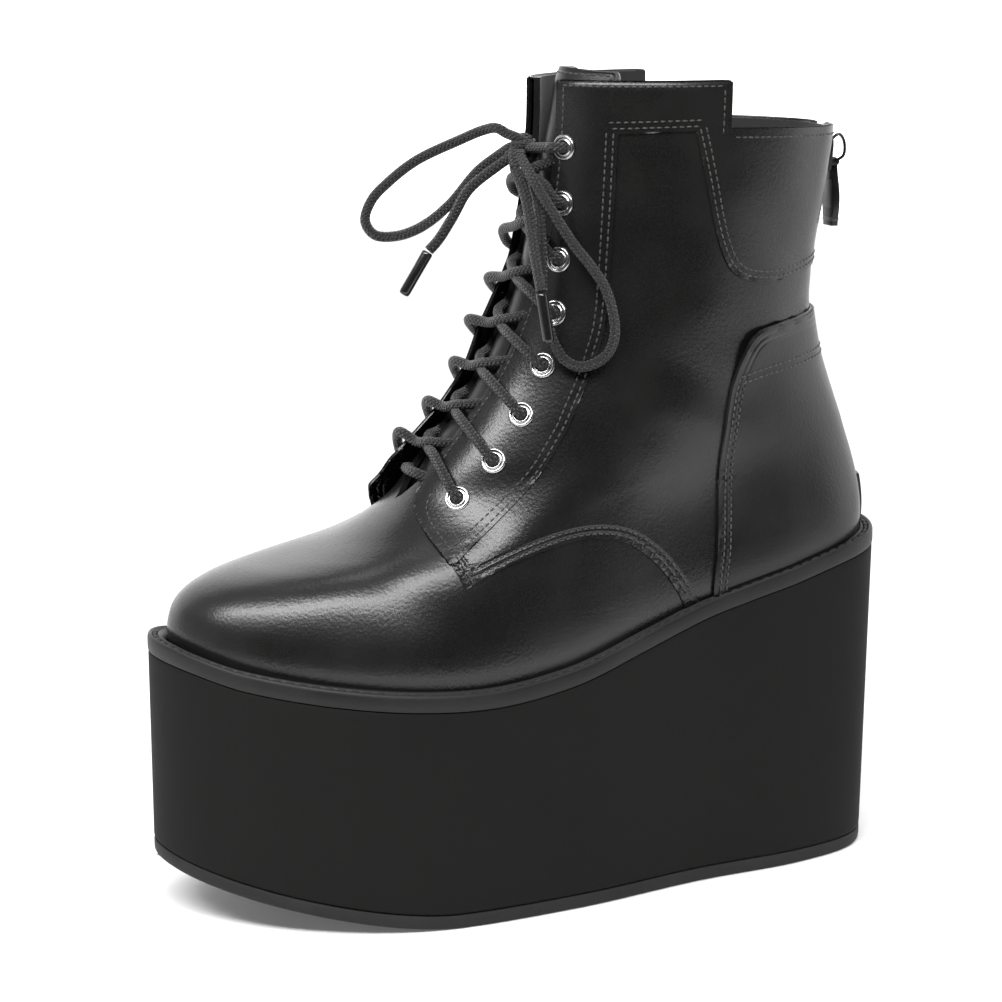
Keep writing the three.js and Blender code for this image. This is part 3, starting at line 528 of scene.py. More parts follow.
def topAt(y):
    at = np.clip(y, platformTop[0, 0], platformTop[-1, 0])
    i = np.clip(np.searchsorted(platformTop[:, 0], at, "left") - 1, 0, len(platformTop) - 2)
    return inTable(platformTop[:, 1], i + (at - platformTop[i, 0]) / (platformTop[i + 1, 0] - platformTop[i, 0]))


def groundAt(y):
    return toeSpring * (np.maximum(0, springStart - y) / (soleLong / 2 + springStart)) ** springPower


def footHalf(angle):
    turn = np.mod(angle, 2 * math.pi) / (2 * math.pi) * 16
    i = np.floor(turn).astype(int)
    pick = lambda k: footRound[np.mod(k, 16)]
    return cubicMix(pick(i - 1), pick(i), pick(i + 1), pick(i + 2), turn - i)


def middleLine(share):
    return toeShift * (1 - share) ** 2


def onLast(row, angle):
    row, angle = np.broadcast_arrays(np.asarray(row, float), np.asarray(angle, float))
    frontY, frontZ, backY, backZ, wide, narrow, foot, bow, _ = (inTable(lastRows[:, k], row) for k in range(9))
    share = (1 - np.cos(angle)) / 2
    y = frontY + (backY - frontY) * share
    chord = topAt(frontY) + (topAt(backY) - topAt(frontY)) * share
    z = frontZ + (backZ - frontZ) * share + bow * (topAt(y) - chord)
    foot = np.clip(foot, 0, 1)
    outer = np.sin(angle) >= 0
    oval = np.sign(np.sin(angle)) * np.abs(np.sin(angle)) ** shaftFullness
    sole = footHalf(angle) / np.where(outer, ballOut, ballIn)
    x = np.where(outer, wide, narrow) * (oval * (1 - foot) + foot * sole) + foot * middleLine(share)
    return np.stack([x, y, z], -1)


def lastNormal(row, angle, step=1e-3):
    up = onLast(np.minimum(row + step, topRow), angle) - onLast(row - step, angle)
    turn = np.cross(onLast(row, angle + step) - onLast(row, angle - step), up)
    return turn / np.maximum(np.linalg.norm(turn, axis=-1), 1e-12)[..., None]


def offLast(row, angle, out):
    return onLast(row, angle) + lastNormal(row, angle) * np.asarray(out, float)[..., None]


# soft troughs and ridges of the worn leather: from and to on the side view, width, depth (a ridge is below 0), side
creases = [
    ((34, 186), (66, 171), 9, 0.75, 0), ((38, 174), (60, 162), 7, -0.35, 0), ((4, 160), (22, 148), 8, 0.45, 0),
    ((-58, 112), (-38, 104), 10, 0.35, 0), ((-66, 124), (-52, 112), 9, 0.3, 0), ((84, 226), (108, 222), 10, 0.55, 0),
    ((60, 243), (52, 206), 13, -0.7, 1), ((34, 250), (30, 214), 12, 0.6, 1), ((92, 200), (108, 204), 6, 0.35, 0),
    ((30, 236), (52, 226), 12, 0.6, -1), ((70, 232), (88, 246), 12, -0.5, -1), ((-24, 128), (-6, 138), 9, -0.3, 1),
]


def creaseDepth(spots):
    deep = np.zeros(spots.shape[:-1])
    for start, end, width, depth, side in creases:
        start, end = np.array(start, float), np.array(end, float)
        along = end - start
        share = np.clip(((spots[..., 1:] - start) @ along) / (along @ along), 0, 1)
        away = np.linalg.norm(spots[..., 1:] - start - share[..., None] * along, axis=-1)
        here = 1 if side == 0 else np.clip(spots[..., 0] * side / 12, 0, 1)
        deep += depth * np.exp(-((away / width) ** 2)) * here
    return deep


def skin(row, angle, out=0.0):
    # a point of the leather, in millimetres, lifted off the last by out
    row, angle = np.broadcast_arrays(np.asarray(row, float), np.asarray(angle, float))
    spot = onLast(row, angle)
    return spot + lastNormal(row, angle) * (np.asarray(out, float) - creaseDepth(spot))[..., None]


def facing(angle, side):
    # the turn counted from the front, as an angle all round
    return angle if side > 0 else 2 * math.pi - angle


def sideOf(spots, side):
    # row and angle of spots given as turn and row
    return spots[:, 1], facing(spots[:, 0], side)


def halve(shape, high, wanted, measure):
    # where between 0 and high a rising measure has the wanted value, for an array of that shape
    low, high = np.zeros(shape), np.full(shape, float(high))
    for _ in range(36):
        middle = (low + high) / 2
        under = measure(middle) < wanted
        low, high = np.where(under, middle, low), np.where(under, high, middle)
    return (low + high) / 2


def frontTurn(row, half, side):
    # how far round from the front a row is a distance from the middle
    row, half = np.broadcast_arrays(np.asarray(row, float), np.asarray(half, float))
    return halve(row.shape, math.pi / 2, half, lambda a: np.abs(onLast(row, facing(a, side))[..., 0]))


def throatHalf(row):
    return np.where(row < 12, np.clip(row - 11, 0, 1) * lastRows[12, 8],
        inTable(lastRows[:, 8], np.maximum(row, 12.0)))


def sideSpots(line, side):
    # turn from the front and row of points given on the side view
    line = np.asarray(line, float)

    def turnAt(row):
        frontY, backY = inTable(lastRows[:, 0], row), inTable(lastRows[:, 2], row)
        return np.arccos(1 - 2 * np.clip((line[:, 0] - frontY) / (backY - frontY), 0, 1))

    row = halve(len(line), topRow, line[:, 1], lambda r: onLast(r, facing(turnAt(r), side))[:, 2])
    spots = np.stack([turnAt(row), row], 1)
    for _ in range(6 if len(spots) > 12 else 0):  # a long line is eased a little
        spots = np.vstack([spots[:1], (spots[:-2] + 2 * spots[1:-1] + spots[2:]) / 4, spots[-1:]])
    return spots


flat = np.array([48.0, 10.0])  # the leather laid flat, about to scale: millimetres for a radian and for a row
print("last ready")

# ---- leather pieces cut from the last ----
def cutLeather(name, outline, side, top, thick, paint, lift=None, rim=0.45, cell=1.9):
    # one flat face in the shape of the outline (turn and row), given a rim, cut across in a grid and laid on the last
    outline = np.asarray(outline, float) * flat
    outline = outline[np.linalg.norm(outline - np.roll(outline, 1, 0), axis=1) > 0.3]
    bm = bmesh.new()
    bmesh.ops.create_circle(bm, cap_ends=True, segments=len(outline), radius=1)
    for v, spot in zip(bm.verts[:], outline):
        v.co = Vector((*spot, 0))
    bmesh.ops.inset_region(bm, faces=bm.faces[:], thickness=rim, use_boundary=True, use_even_offset=True)
    low, high = outline.min(0), outline.max(0)
    for axis in (0, 1):
        for share in range(1, math.ceil((high[axis] - low[axis]) / cell)):
            cut = low[axis] + share * cell
            point, across = [0, 0, 0], [0, 0, 0]
            point[axis], across[axis] = cut, 1
            spans = ((f, [v.co[axis] for v in f.verts]) for f in bm.faces)
            crossed = [f for f, span in spans if min(span) < cut < max(span)]
            parts = [*crossed, *(e for f in crossed for e in f.edges), *(v for f in crossed for v in f.verts)]
            bmesh.ops.bisect_plane(bm, geom=list(dict.fromkeys(parts)), dist=0.02, plane_co=point, plane_no=across)
    bmesh.ops.dissolve_degenerate(bm, dist=0.05, edges=bm.edges)
    bm.normal_update()
    turned = [f for f in bm.faces if f.normal.z > 0]
    if len(turned) > len(bm.faces) / 2:
        turned = [f for f in bm.faces if f.normal.z <= 0]
    bmesh.ops.reverse_faces(bm, faces=turned)
    row, angle = sideOf(np.array([v.co[:2] for v in bm.verts]) / flat, side)
    row = np.clip(row, 0, topRow)
    rimRow, rimAngle = sideOf(evenly(np.vstack([outline, outline[:1]]), 1.0) / flat, side)
    away = toLine(skin(row, angle), skin(np.clip(rimRow, 0, topRow), rimAngle))
    rise = top - 0.55 * thick * (1 - np.clip(away / (rim * 0.8), 0, 1)) ** 2
    if lift:
        rise = rise + lift(onLast(row, angle))
    for v, spot in zip(bm.verts, skin(row, angle, rise) * mm):
        v.co = Vector(spot)
    markEdge(bm, np.minimum(away, 40))
    bm.normal_update()
    if sum(v.normal.dot(Vector(n)) for v, n in zip(bm.verts, lastNormal(row, angle))) < 0:
        bmesh.ops.reverse_faces(bm, faces=bm.faces)
    return onBody(bakeDown(thicken(finishPiece(name, bm, [paint]), thick)), "leather")


stitches = {"pitch": 2.45, "proud": 0.12}
stitchPlaces = {"fine": [], "rope": []}


def sewRow(line, normals, pitch=stitches["pitch"], kind="fine"):
    # one stitch every pitch, lying along the line with its back to the leather
    joined = evenly(np.hstack([line, np.broadcast_to(normals, line.shape)]), pitch)
    line, normals = joined[:, :3], joined[:, 3:]
    middles, ahead, up = (line[1:] + line[:-1]) / 2, line[1:] - line[:-1], normals[1:] + normals[:-1]
    for middle, t, n in zip(middles, ahead, up):
        t = t / np.linalg.norm(t)
        n = n - t * (n @ t)
        n = n / max(np.linalg.norm(n), 1e-9)
        axes = Matrix((t, np.cross(n, t), n)).transposed().to_4x4()
        stitchPlaces[kind].append(Matrix.Translation(Vector(middle * mm)) @ axes)


def sewSide(line, side, out, smooth=True):
    # a row of stitches along a line on the side view
    line = smoothLine(line, 0.8) if smooth else evenly(np.asarray(line, float), 0.8)
    sewSpots(sideSpots(line, side), side, out)


def sewSpots(spots, side, out):
    row, angle = sideOf(spots, side)
    row = np.clip(row, 0, topRow)
    sewRow(skin(row, angle, out), lastNormal(row, angle))


def shifted(line, by):
    # the same line moved sideways on the side view, to its left going forwards
    line = np.asarray(line, float)
    ahead = np.gradient(line, axis=0)
    ahead /= np.linalg.norm(ahead, axis=1)[:, None]
    return line + by * np.stack([-ahead[:, 1], ahead[:, 0]], 1)


# seams on the side view, y and z
seams = {
    "facingToe": [(-39.8, 146.5), (-42.4, 142.8), (-44.3, 139.2), (-44.9, 135.3), (-44.1, 131.5), (-42.6, 128.1),
        (-40.7, 124.5), (-38.5, 119.7), (-37, 116.2)],
    "quarter": [(-37, 116.2), (-31.8, 118.7), (-24.5, 121.5), (-17.3, 123.9), (-9.9, 126), (-2.5, 127.7), (5, 128.8),
        (12.5, 128.8), (18.3, 127.9), (24, 125.9), (29.8, 122.2), (35.6, 117.1), (40.2, 111.4), (44.2, 105.3),
        (48, 96)],
    "yokeFront": [(23.1, 264.6), (22.3, 248.9), (21.1, 232.2), (19.4, 214), (17.2, 199.4), (14.2, 190.3), (11, 182.1),
        (6.8, 173.8), (2.9, 166.3), (-0.5, 161.1), (-8.5, 149.9), (-18.9, 139.8), (-29.4, 131.2), (-38.6, 124.6),
        (-41.4, 122.6)],
    "yokeRear": [(48.5, 265.6), (49.7, 260.9), (51.3, 254.1), (53, 246), (54.6, 237.8), (56.3, 231), (58.4, 224.7),
        (61.7, 218.4), (66.7, 214.6), (74.4, 212.7), (83.6, 212.6), (91.8, 213.6), (100, 215.2), (106, 216.4),
        (109.5, 217)],
    "counterFront": [(57.2, 100), (57.3, 108.7), (58, 114), (59, 119.8), (59.6, 127), (60, 134), (60.3, 147.7),
        (60.6, 154), (61.2, 160), (62.2, 166), (63.2, 171), (64.3, 177.3), (65.3, 180.2), (66.4, 184.2),
        (67.6, 187.6), (69.3, 190.8), (71.4, 193.4), (74.4, 194.9), (79, 195.5), (84.7, 196.3), (92.1, 196.9),
        (100.2, 197.8), (105.4, 198.4), (109.8, 199)],
    "counterRow": [(66.2, 179.6), (74.7, 181.6), (88.6, 183.4), (100, 184.8), (110.5, 185.8)],
}


def throatSpots(rows, inset, side):
    # turn and row along the throat's edge, or a distance outside it
    return np.stack([frontTurn(rows, throatHalf(rows) + inset, side), rows], 1)


def backSpots(rows, half, side):
    # the same, a distance from the middle of the back
    turn = halve(len(rows), 0.6, half, lambda a: np.abs(onLast(rows, facing(math.pi - a, side))[:, 0]))
    return np.stack([math.pi - turn, rows], 1)


def collarTurn(side):
    # where the collar steps down, as the turn from the front
    rows = np.array([rearRow, topRow], float)
    start, end = (facing(frontTurn(rows, throatHalf(rows), way), way) for way in (1, -1))
    at = start + (end - start) * (stepColumn / columns if side > 0 else 1 - stepColumn / columns)
    return facing(at, side)


def collarTop(side):
    step = collarTurn(side)
    front = throatSpots(np.array([float(topRow)]), 0, side)[0, 0]
    back = backSpots(np.array([float(rearRow)]), leather["backHalf"], side)[0, 0]
    high = np.stack([np.linspace(front, step[1], 24), np.full(24, float(topRow))], 1)
    low = np.stack([np.linspace(step[0], back, 40), np.full(40, float(rearRow))], 1)
    return high, low


# tops are how far a piece's face stands off the last
leather = {"quarterTop": 0.5, "yokeTop": 1.15, "counterTop": 1.75, "stayTop": 2.9, "thick": 0.9, "counterThick": 1.3,
    "shellThick": 2.2, "backHalf": 4.0}
sideWord = {1: "Outer", -1: "Inner"}
flare = {"reach": 17, "z": [120, 134, 147, 165, 179, 193, 204, 219, 251, 281],
    "lift": [1.2, 6.2, 6.6, 4.2, 4.0, 5.4, 4.2, 2.0, 1.6, 1.4]}


def flareOut(spots, throat):
    # how far the inner side's facing stands off the tongue, most where the laces pull it
    away = toLine(spots, throat)
    return np.interp(spots[..., 2], flare["z"], flare["lift"]) * np.clip(1 - away / flare["reach"], 0, 1) ** 1.7


def seamSpots(name, side):
    return sideSpots(smoothLine(seams[name], 1.2), side)


def facingEdgeLine(side, inset=0.0):
    rows = np.linspace(22, 12.05, 70)
    toe = sideSpots(shifted(smoothLine(seams["facingToe"], 1), inset), side)
    return np.vstack([throatSpots(rows, inset, side), toe])


def makeBaseUpper():
    def place(u, v):
        # the throat opens above row 11
        row = v * topRow
        start, end = (np.where(row < 11.001, 0, frontTurn(row, throatHalf(row), side)) for side in (1, -1))
        end = 2 * math.pi - end
        return skin(row, start + (end - start) * u)
    bm = bmesh.new()
    share = layGrid(bm, columns * 4, topRow * 6, place)
    # the faces behind the collar's step go
    bm.verts.index_update()
    middles = [share[[v.index for v in f.verts]].mean(0) for f in bm.faces]
    edge = stepColumn / columns
    rear = [f for f, (u, v) in zip(bm.faces, middles) if v > rearRow / topRow and edge < u < 1 - edge]
    bmesh.ops.delete(bm, geom=rear, context="FACES")
    weld(bm, 2e-6)
    bm.normal_update()
    if sum(f.normal.x * f.calc_center_median().x for f in bm.faces) < 0:
        bmesh.ops.reverse_faces(bm, faces=bm.faces)
    piece = finishPiece("upperShell", bm, [smoothLeather, liningCloth])
    thicken(piece, leather["shellThick"], use_even_offset=True, material_offset=1)
    onBody(bakeDown(piece), "leather", "upper")


def bender(side, edge):
    return (lambda spots: flareOut(spots, edge)) if side < 0 else None


def makeQuarter(side):
    high, low = collarTop(side)
    back = backSpots(np.linspace(rearRow, 0.3, 60), leather["backHalf"], side)
    seam = seamSpots("quarter", side)
    seam = seam[seam[:, 1] > 0.3]
    foot = np.stack([np.linspace(back[-1, 0], seam[-1, 0], 40), np.full(40, 0.3)], 1)
    front = facingEdgeLine(side, 0.6)
    below = (0, 0.04)  # the yoke lies over this edge
    outline = np.vstack([high - below, low - below, back[1:], foot[1:-1], seam[::-1], front[::-1][1:-1]])
    lift = bender(side, onLast(*sideOf(front, side)))
    cutLeather("quarter" + sideWord[side], outline, side, leather["quarterTop"], leather["thick"], smoothLeather, lift)


def makeYoke(side):
    high, low = collarTop(side)
    rear = seamSpots("yokeRear", side)
    backEnd = backSpots(np.linspace(rearRow, rear[-1, 1], 14), leather["backHalf"], side)
    rear = rear[rear[:, 0] < backEnd[-1, 0] - 0.01]
    front = facingEdgeLine(side)
    edge = onLast(*sideOf(front, side))
    frontIn = seamSpots("yokeFront", side)
    # the inner line stops where it comes close to the facing's edge
    far = toLine(onLast(*sideOf(frontIn, side)), edge)
    frontIn = frontIn[: int(np.argmax(far < 1.4)) + 1]
    cut = int(np.argmin(np.linalg.norm(edge - onLast(*sideOf(frontIn[-1:], side)), axis=1)))
    outline = np.vstack([high, low, backEnd[1:], rear[::-1], frontIn, front[: cut + 1][::-1][:-1]])
    cutLeather("yoke" + sideWord[side], outline, side, leather["yokeTop"], leather["thick"], facingLeather,
        bender(side, edge))


def standOff(spots):
    # the counter's upper front corner curls away from the shaft
    corner = np.exp(-(((spots[:, 1] - 69) / 12) ** 2 + ((spots[:, 2] - 192) / 9) ** 2))
    ledge = np.clip((spots[:, 2] - 181) / 16, 0, 1) * np.clip((106 - spots[:, 1]) / 30, 0.25, 1)
    return 1.5 * corner + 0.9 * ledge


def makeCounter(side):
    front = seamSpots("counterFront", side)
    front = front[front[:, 1] > 0.4]
    back = backSpots(np.linspace(front[-1, 1], 0.4, 40), leather["backHalf"], side)
    front = front[front[:, 0] < back[0, 0] - 0.01]
    foot = np.stack([np.linspace(back[-1, 0], front[0, 0], 30), np.full(30, 0.4)], 1)
    outline = np.vstack([front, back, foot[1:-1]])
    word = sideWord[side]
    piece = cutLeather("heelCounter" + word, outline, side, leather["counterTop"], leather["counterThick"],
        heelLeather, standOff)
    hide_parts("counter_" + word.lower())


# rows of stitches beside a seam: seam, which points, which of the row's points, the piece's top, how far to the side
seamRows = [
    ("quarter", slice(-1), slice(None), "quarterTop", (1.3, 3.3)),
    ("yokeFront", slice(-1), slice(None), "yokeTop", (-0.9, -2.9)),
    ("yokeRear", slice(None), slice(-1), "yokeTop", (1.2, 3.2)),
]


def sewBoot(side):
    onYoke, onCounter = (leather[top] + stitches["proud"] for top in ("yokeTop", "counterTop"))
    for seam, points, part, top, ways in seamRows:
        for by in ways:
            sewSide(shifted(smoothLine(seams[seam][points], 1.5), by)[part], side, leather[top] + stitches["proud"])
    for drop in (0.9, 2.9):
        sewSide([(22 - drop * 0.5, 264.9 + drop), (36, 265.3 + drop), (49 + drop * 0.5, 265.6 + drop)], side, onYoke,
            smooth=False)
    if side > 0:
        sewSpots(throatSpots(np.linspace(21.85, 12.4, 60), 2.6, side), side, onYoke)
        sewSide(shifted(smoothLine(seams["facingToe"], 1.2), 2.4)[2:], side, onYoke)
    high, low = collarTop(side)
    sewSpots(high[1:-1] - (0, 0.13), side, onYoke)
    sewSpots(low[1:-1] - (0, 0.16), side, onYoke)
    step = collarTurn(side)
    sewSpots(np.stack([np.linspace(step[1], step[0], 10) - 0.045, np.linspace(21.8, 20.9, 10)], 1), side, onYoke)
    for by in (-1.5, -3.9):
        sewSide(shifted(smoothLine(seams["counterFront"][:13], 1.5), by), side, onCounter)
    for by in (0, -2.4):
        row, angle = sideOf(sideSpots(shifted(smoothLine(seams["counterRow"], 1.5), by), side), side)
        sewRow(skin(row, angle, onCounter + standOff(onLast(row, angle))), lastNormal(row, angle))


makeBaseUpper()
for side in (1, -1):
    makeQuarter(side)
    makeYoke(side)
    makeCounter(side)
    sewBoot(side)
print("leather cut and sewn")

# ---- sole ----
def roundFoot(steps, spotsAt):
    # a place for lofted: spotsAt gives the spots of one step of the profile at angles round the foot
    def place(u, v):
        angle, step = 2 * math.pi * u, np.rint(v * (len(steps) - 1)).astype(int)
        out = np.zeros((len(u), 3))
        for k, values in enumerate(steps):
            on = step == k
            out[on] = spotsAt(angle[on], *values)
        return out
    return place


def solePoint(angle, inset, height, spine=False):
    share = (1 - np.cos(angle)) / 2
    y = -(soleLong / 2 - inset) * np.cos(angle)
    rise = np.clip(height / topAt(y), 0, 1)
    x = middleLine(share) + (0 if spine else 1) * footHalf(angle) * (1 - inset / ballIn)
    return np.stack([x, y - heelLean * np.maximum(0, share - 0.5) * 2 * (1 - rise), height], -1)


def sweepSole(name, profile, around, paint):
    # each step of the profile is how far in from the outline, and a height worked out along the foot
    def spotsAt(angle, inset, height):
        y = -(soleLong / 2 - (inset or 0)) * np.cos(angle)
        return solePoint(angle, inset or 0, height(y), inset is None)
    return lofted(name, around, len(profile) - 1, roundFoot(profile, spotsAt), [paint])


def makePlatform():
    low = lambda y: groundAt(y) + treadThick + gap
    between = lambda share, lift=0.0: (lambda y: low(y) + (topAt(y) - low(y)) * share + lift)
    walls = [(0.0, between(s)) for s in np.linspace(0.02, 0.98, 16)]
    profile = [(None, between(0)), (1.2, between(0)), (0.35, between(0, 0.12)), (0.08, between(0, 0.55))] + walls
    profile += [(0.05, between(1, -0.7)), (0.25, between(1, -0.22)), (0.75, between(1)), (None, between(1))]
    onBody(sweepSole("platformWedge", profile, 224, foamSkin), "foam", "platform")


# cross slots under the sole; edge is how far they stop from its sides
tread = {"count": 13, "first": -88, "pitch": 16, "width": 3.2, "depth": 1.6, "edge": 13}


def makeOutsole():
    at = lambda lift: (lambda y: groundAt(y) + lift)
    profile = [(None, at(0)), (1.2, at(0)), (0.45, at(0.3)), (0.05, at(1.1)), (0, at(2)), (0, at(4.3)),
        (0.25, at(4.85)), (0.8, at(5)), (None, at(5))]
    piece = sweepSole("outsoleTread", profile, 200, treadRubber)
    bm = bmesh.new()
    for n in range(tread["count"]):
        y = tread["first"] + n * tread["pitch"]
        share = (y + soleLong / 2) / soleLong
        angle = math.acos(1 - 2 * share)
        outer, inner = (float(footHalf(way * angle)) + middleLine(share) - way * tread["edge"] for way in (1, -1))
        slope = math.atan(float(groundAt(y + 1) - groundAt(y)))
        size = (outer - inner, tread["width"], 2 * tread["depth"])
        addBox(bm, ((outer + inner) / 2, y, float(groundAt(y))), size, slope)
    slots = finishPiece("treadSlots", bm, [treadRubber])
    cut = piece.modifiers.new("slots", "BOOLEAN")
    cut.operation, cut.solver, cut.object = "DIFFERENCE", "EXACT", slots
    bakeDown(piece)
    bpy.data.objects.remove(slots)
    onBody(piece, "outsole_rubber", "outsole")


# outer: how far in from the sole's outline and how high over the platform, from the foot of the band to its inner lip
welt = {
    "outer": [(0.1, 0.3), (-0.15, 0.8), (-0.2, 2.6), (-0.15, 4.7), (0.05, 5.5), (0.35, 6.0), (0.75, 6.2),
        (1.15, 6.05), (1.4, 5.6), (1.75, 5.05), (2.3, 4.8), (2.85, 5.0), (3.2, 5.5), (3.5, 6.1), (3.9, 6.35),
        (4.35, 6.2)],
    "inner": [4.6, 0.3], "pitch": 4.3, "threadIn": 2.3, "threadUp": 5.45,
}
footbedSteps = [(None, 0.3), (3.3, 0.3), (3.2, 1.2), (3.3, 2.9), (4.0, 3.5), (None, 3.5)]


def weltInside(angle, out):
    return offLast(0.6, angle, out)


def weltPoint(angle, inset, lift):
    y = -(soleLong / 2 - inset) * np.cos(angle)
    x = footHalf(angle) * (1 - inset / ballIn) + middleLine((1 - np.cos(angle)) / 2)
    return np.stack([x, y, topAt(y) + lift], -1)


def makeWelt():
    steps = welt["outer"] + [(None, lift) for lift in welt["inner"]]

    def spotsAt(angle, inset, lift):
        if inset is not None:
            return weltPoint(angle, inset, lift)
        spots = weltInside(angle, gap)
        spots[:, 2] = topAt(spots[:, 1]) + lift
        return spots
    bm = bmesh.new()
    layGrid(bm, 288, len(steps) - 1, roundFoot(steps, spotsAt))
    bmesh.ops.remove_doubles(bm, verts=bm.verts, dist=2e-6)
    bmesh.ops.bridge_loops(bm, edges=[e for e in bm.edges if e.is_boundary])
    bmesh.ops.recalc_face_normals(bm, faces=bm.faces)
    onBody(finishPiece("weltStrip", bm, [weltRubber], 50), "welt_rubber", "welt")
    line = weltPoint(np.linspace(0, 2 * math.pi, 700), welt["threadIn"], welt["threadUp"])
    sewRow(line, (0.0, 0.0, 1.0), welt["pitch"], "rope")


def makeInsole():
    def spotsAt(angle, inset, lift):
        spots = weltInside(angle, -(inset or 3.3))
        if inset is None:
            spots[:, 0] = middleLine((1 - np.cos(angle)) / 2)
        spots[:, 2] = topAt(spots[:, 1]) + lift
        return spots
    piece = lofted("footbed", 120, len(footbedSteps) - 1, roundFoot(footbedSteps, spotsAt), [liningCloth])
    onBody(piece, "lining", "insole")


makePlatform()
makeOutsole()
makeWelt()
makeInsole()
print("sole built")

# ---- tongue ----
# the last of the tongue's length, from overTop on, stands above the last
tongue = {"firstRow": 9.6, "lowHalf": 19, "topHalf": 24, "depth": 3.5, "thick": 2.2, "leanRow": 18, "lean": 6,
    "overTop": 0.965, "above": 4.4, "crown": 3.2}


def makeTongue():
    def place(u, v):
        row = np.minimum(tongue["firstRow"] + (topRow - tongue["firstRow"]) * v / tongue["overTop"], topRow)
        across = (tongue["lowHalf"] + (tongue["topHalf"] - tongue["lowHalf"]) * v) * (2 * u - 1)
        past = np.clip((v - tongue["overTop"]) / (1 - tongue["overTop"]), 0, 1)
        half = np.abs(across) * (1 - 0.06 * past**2)
        outer, inner = (facing(frontTurn(row, np.maximum(half, 0.01), side), side) for side in (1, -1))
        angle = np.where(across >= 0, outer, inner)
        crown = tongue["crown"] * np.exp(-((half / 11) ** 2)) * np.clip((row - 11.6) / 1.6, 0, 1)
        crown = crown + 0.35 * np.sin(row * 2.1) * np.exp(-((half / 12) ** 2)) * (row < 20)
        spots = offLast(row, angle, crown - tongue["depth"])
        lean = np.maximum(0, row - tongue["leanRow"]) / (topRow - tongue["leanRow"])
        spots[:, 1] += tongue["lean"] * lean**2 + past * tongue["above"] * 0.35
        spots[:, 2] += past * tongue["above"] - 0.05 * past * half
        return spots
    bm = bmesh.new()
    share = layGrid(bm, 48, 110, place)
    wide = tongue["lowHalf"] + (tongue["topHalf"] - tongue["lowHalf"]) * share[:, 1]
    markEdge(bm, np.minimum((1 - np.abs(2 * share[:, 0] - 1)) * wide, (1 - share[:, 1]) * 150))
    turnFaces(bm, (0, -1, 0))
    piece = finishPiece("tongueLeather", bm, [tongueLeather, liningCloth])
    onBody(bakeDown(thicken(piece, tongue["thick"], material_offset=1), 60), "leather", "tongue")
    top = place(np.linspace(0.04, 0.96, 60), np.full(60, 0.984))
    sewRow(top - (0, 0.1, 0), (0.0, -1.0, 0.2))


makeTongue()

# ---- eyelets and laces ----
eyelet = {"stand": 1.15, "hole": 2.3, "profile": [(2.05, -1.9), (2.1, -0.2), (2.2, 0.35), (2.45, 0.66), (2.75, 0.7),
    (3.0, 0.5), (3.15, 0.34), (3.35, 0.5), (3.7, 0.72), (4.1, 0.66), (4.4, 0.38), (4.5, 0.0), (4.45, -0.25),
    (2.6, -0.3), (2.5, -1.9)]}
eyeletPlaces = [(9.6, 259), (8.4, 240.2), (6.4, 221.4), (3.6, 203.6), (-1.6, 186.2), (-10.2, 170), (-20.8, 155),
    (-33, 142.4)]


def eyeletSpot(n, side):
    row, angle = (float(k[0]) for k in sideOf(sideSpots([eyeletPlaces[n]], side), side))
    spot, normal = onLast(row, angle), lastNormal(row, angle)
    lift = float(flareOut(spot[None], onLast(*sideOf(facingEdgeLine(side), side)))[0]) if side < 0 else 0
    return spot + normal * (eyelet["stand"] + lift), normal


def makeEyelets():
    ring = bmesh.new()
    spinProfile(ring, eyelet["profile"], 28, closed=True)
    rings, holes = bmesh.new(), bmesh.new()
    spots = [eyeletSpot(n, side) for n in range(len(eyeletPlaces)) for side in (1, -1)]
    places = [upTo(normal, spot) for spot, normal in spots]
    addCopies(rings, ring, places)
    for place in places:
        dark = place @ Matrix.Translation((0, 0, 0.05 * mm)) @ Matrix.Diagonal(Vector((1, 1, 0.1, 1)))
        bmesh.ops.create_uvsphere(holes, u_segments=20, v_segments=10, radius=eyelet["hole"] * mm, matrix=dark)
    nodes = [f"eyelet_{word}_{n + 1}" for n in range(8) for word in ("outer", "inner")]
    onBody(finishPiece("eyeletRings", rings, [eyeletSteel], 60), "eyelet_steel", *nodes)
    onBody(finishPiece("eyeletHoles", holes, [liningCloth]), "lining")


# how far a strand stands off the leather by its eyelet and over the edge, and in the channel between the facings.
# hump is how much more the upper of two crossing strands rises
strands = {"lift": 3.2, "overEdge": 3.6, "inChannel": 1.6, "hump": 2.2}


def edgeRow(n, side):
    # the row where the throat's edge is nearest to an eyelet
    spot = eyeletSpot(n, side)[0]
    rows = np.arange(11.2, 22.01, 0.05)
    edge = onLast(rows, facing(frontTurn(rows, np.maximum(throatHalf(rows), 1), side), side))
    return float(rows[np.argmin(np.linalg.norm(edge - spot, axis=1))])


def nearMiddle(row, side, share, out):
    # a spot over the tongue, at a share of the way from the middle to the throat's edge
    row = np.array([row])
    angle = facing(frontTurn(row, np.maximum(np.maximum(throatHalf(row), 1) * share, 0.01), side), side)
    return offLast(row, angle, out)[0]


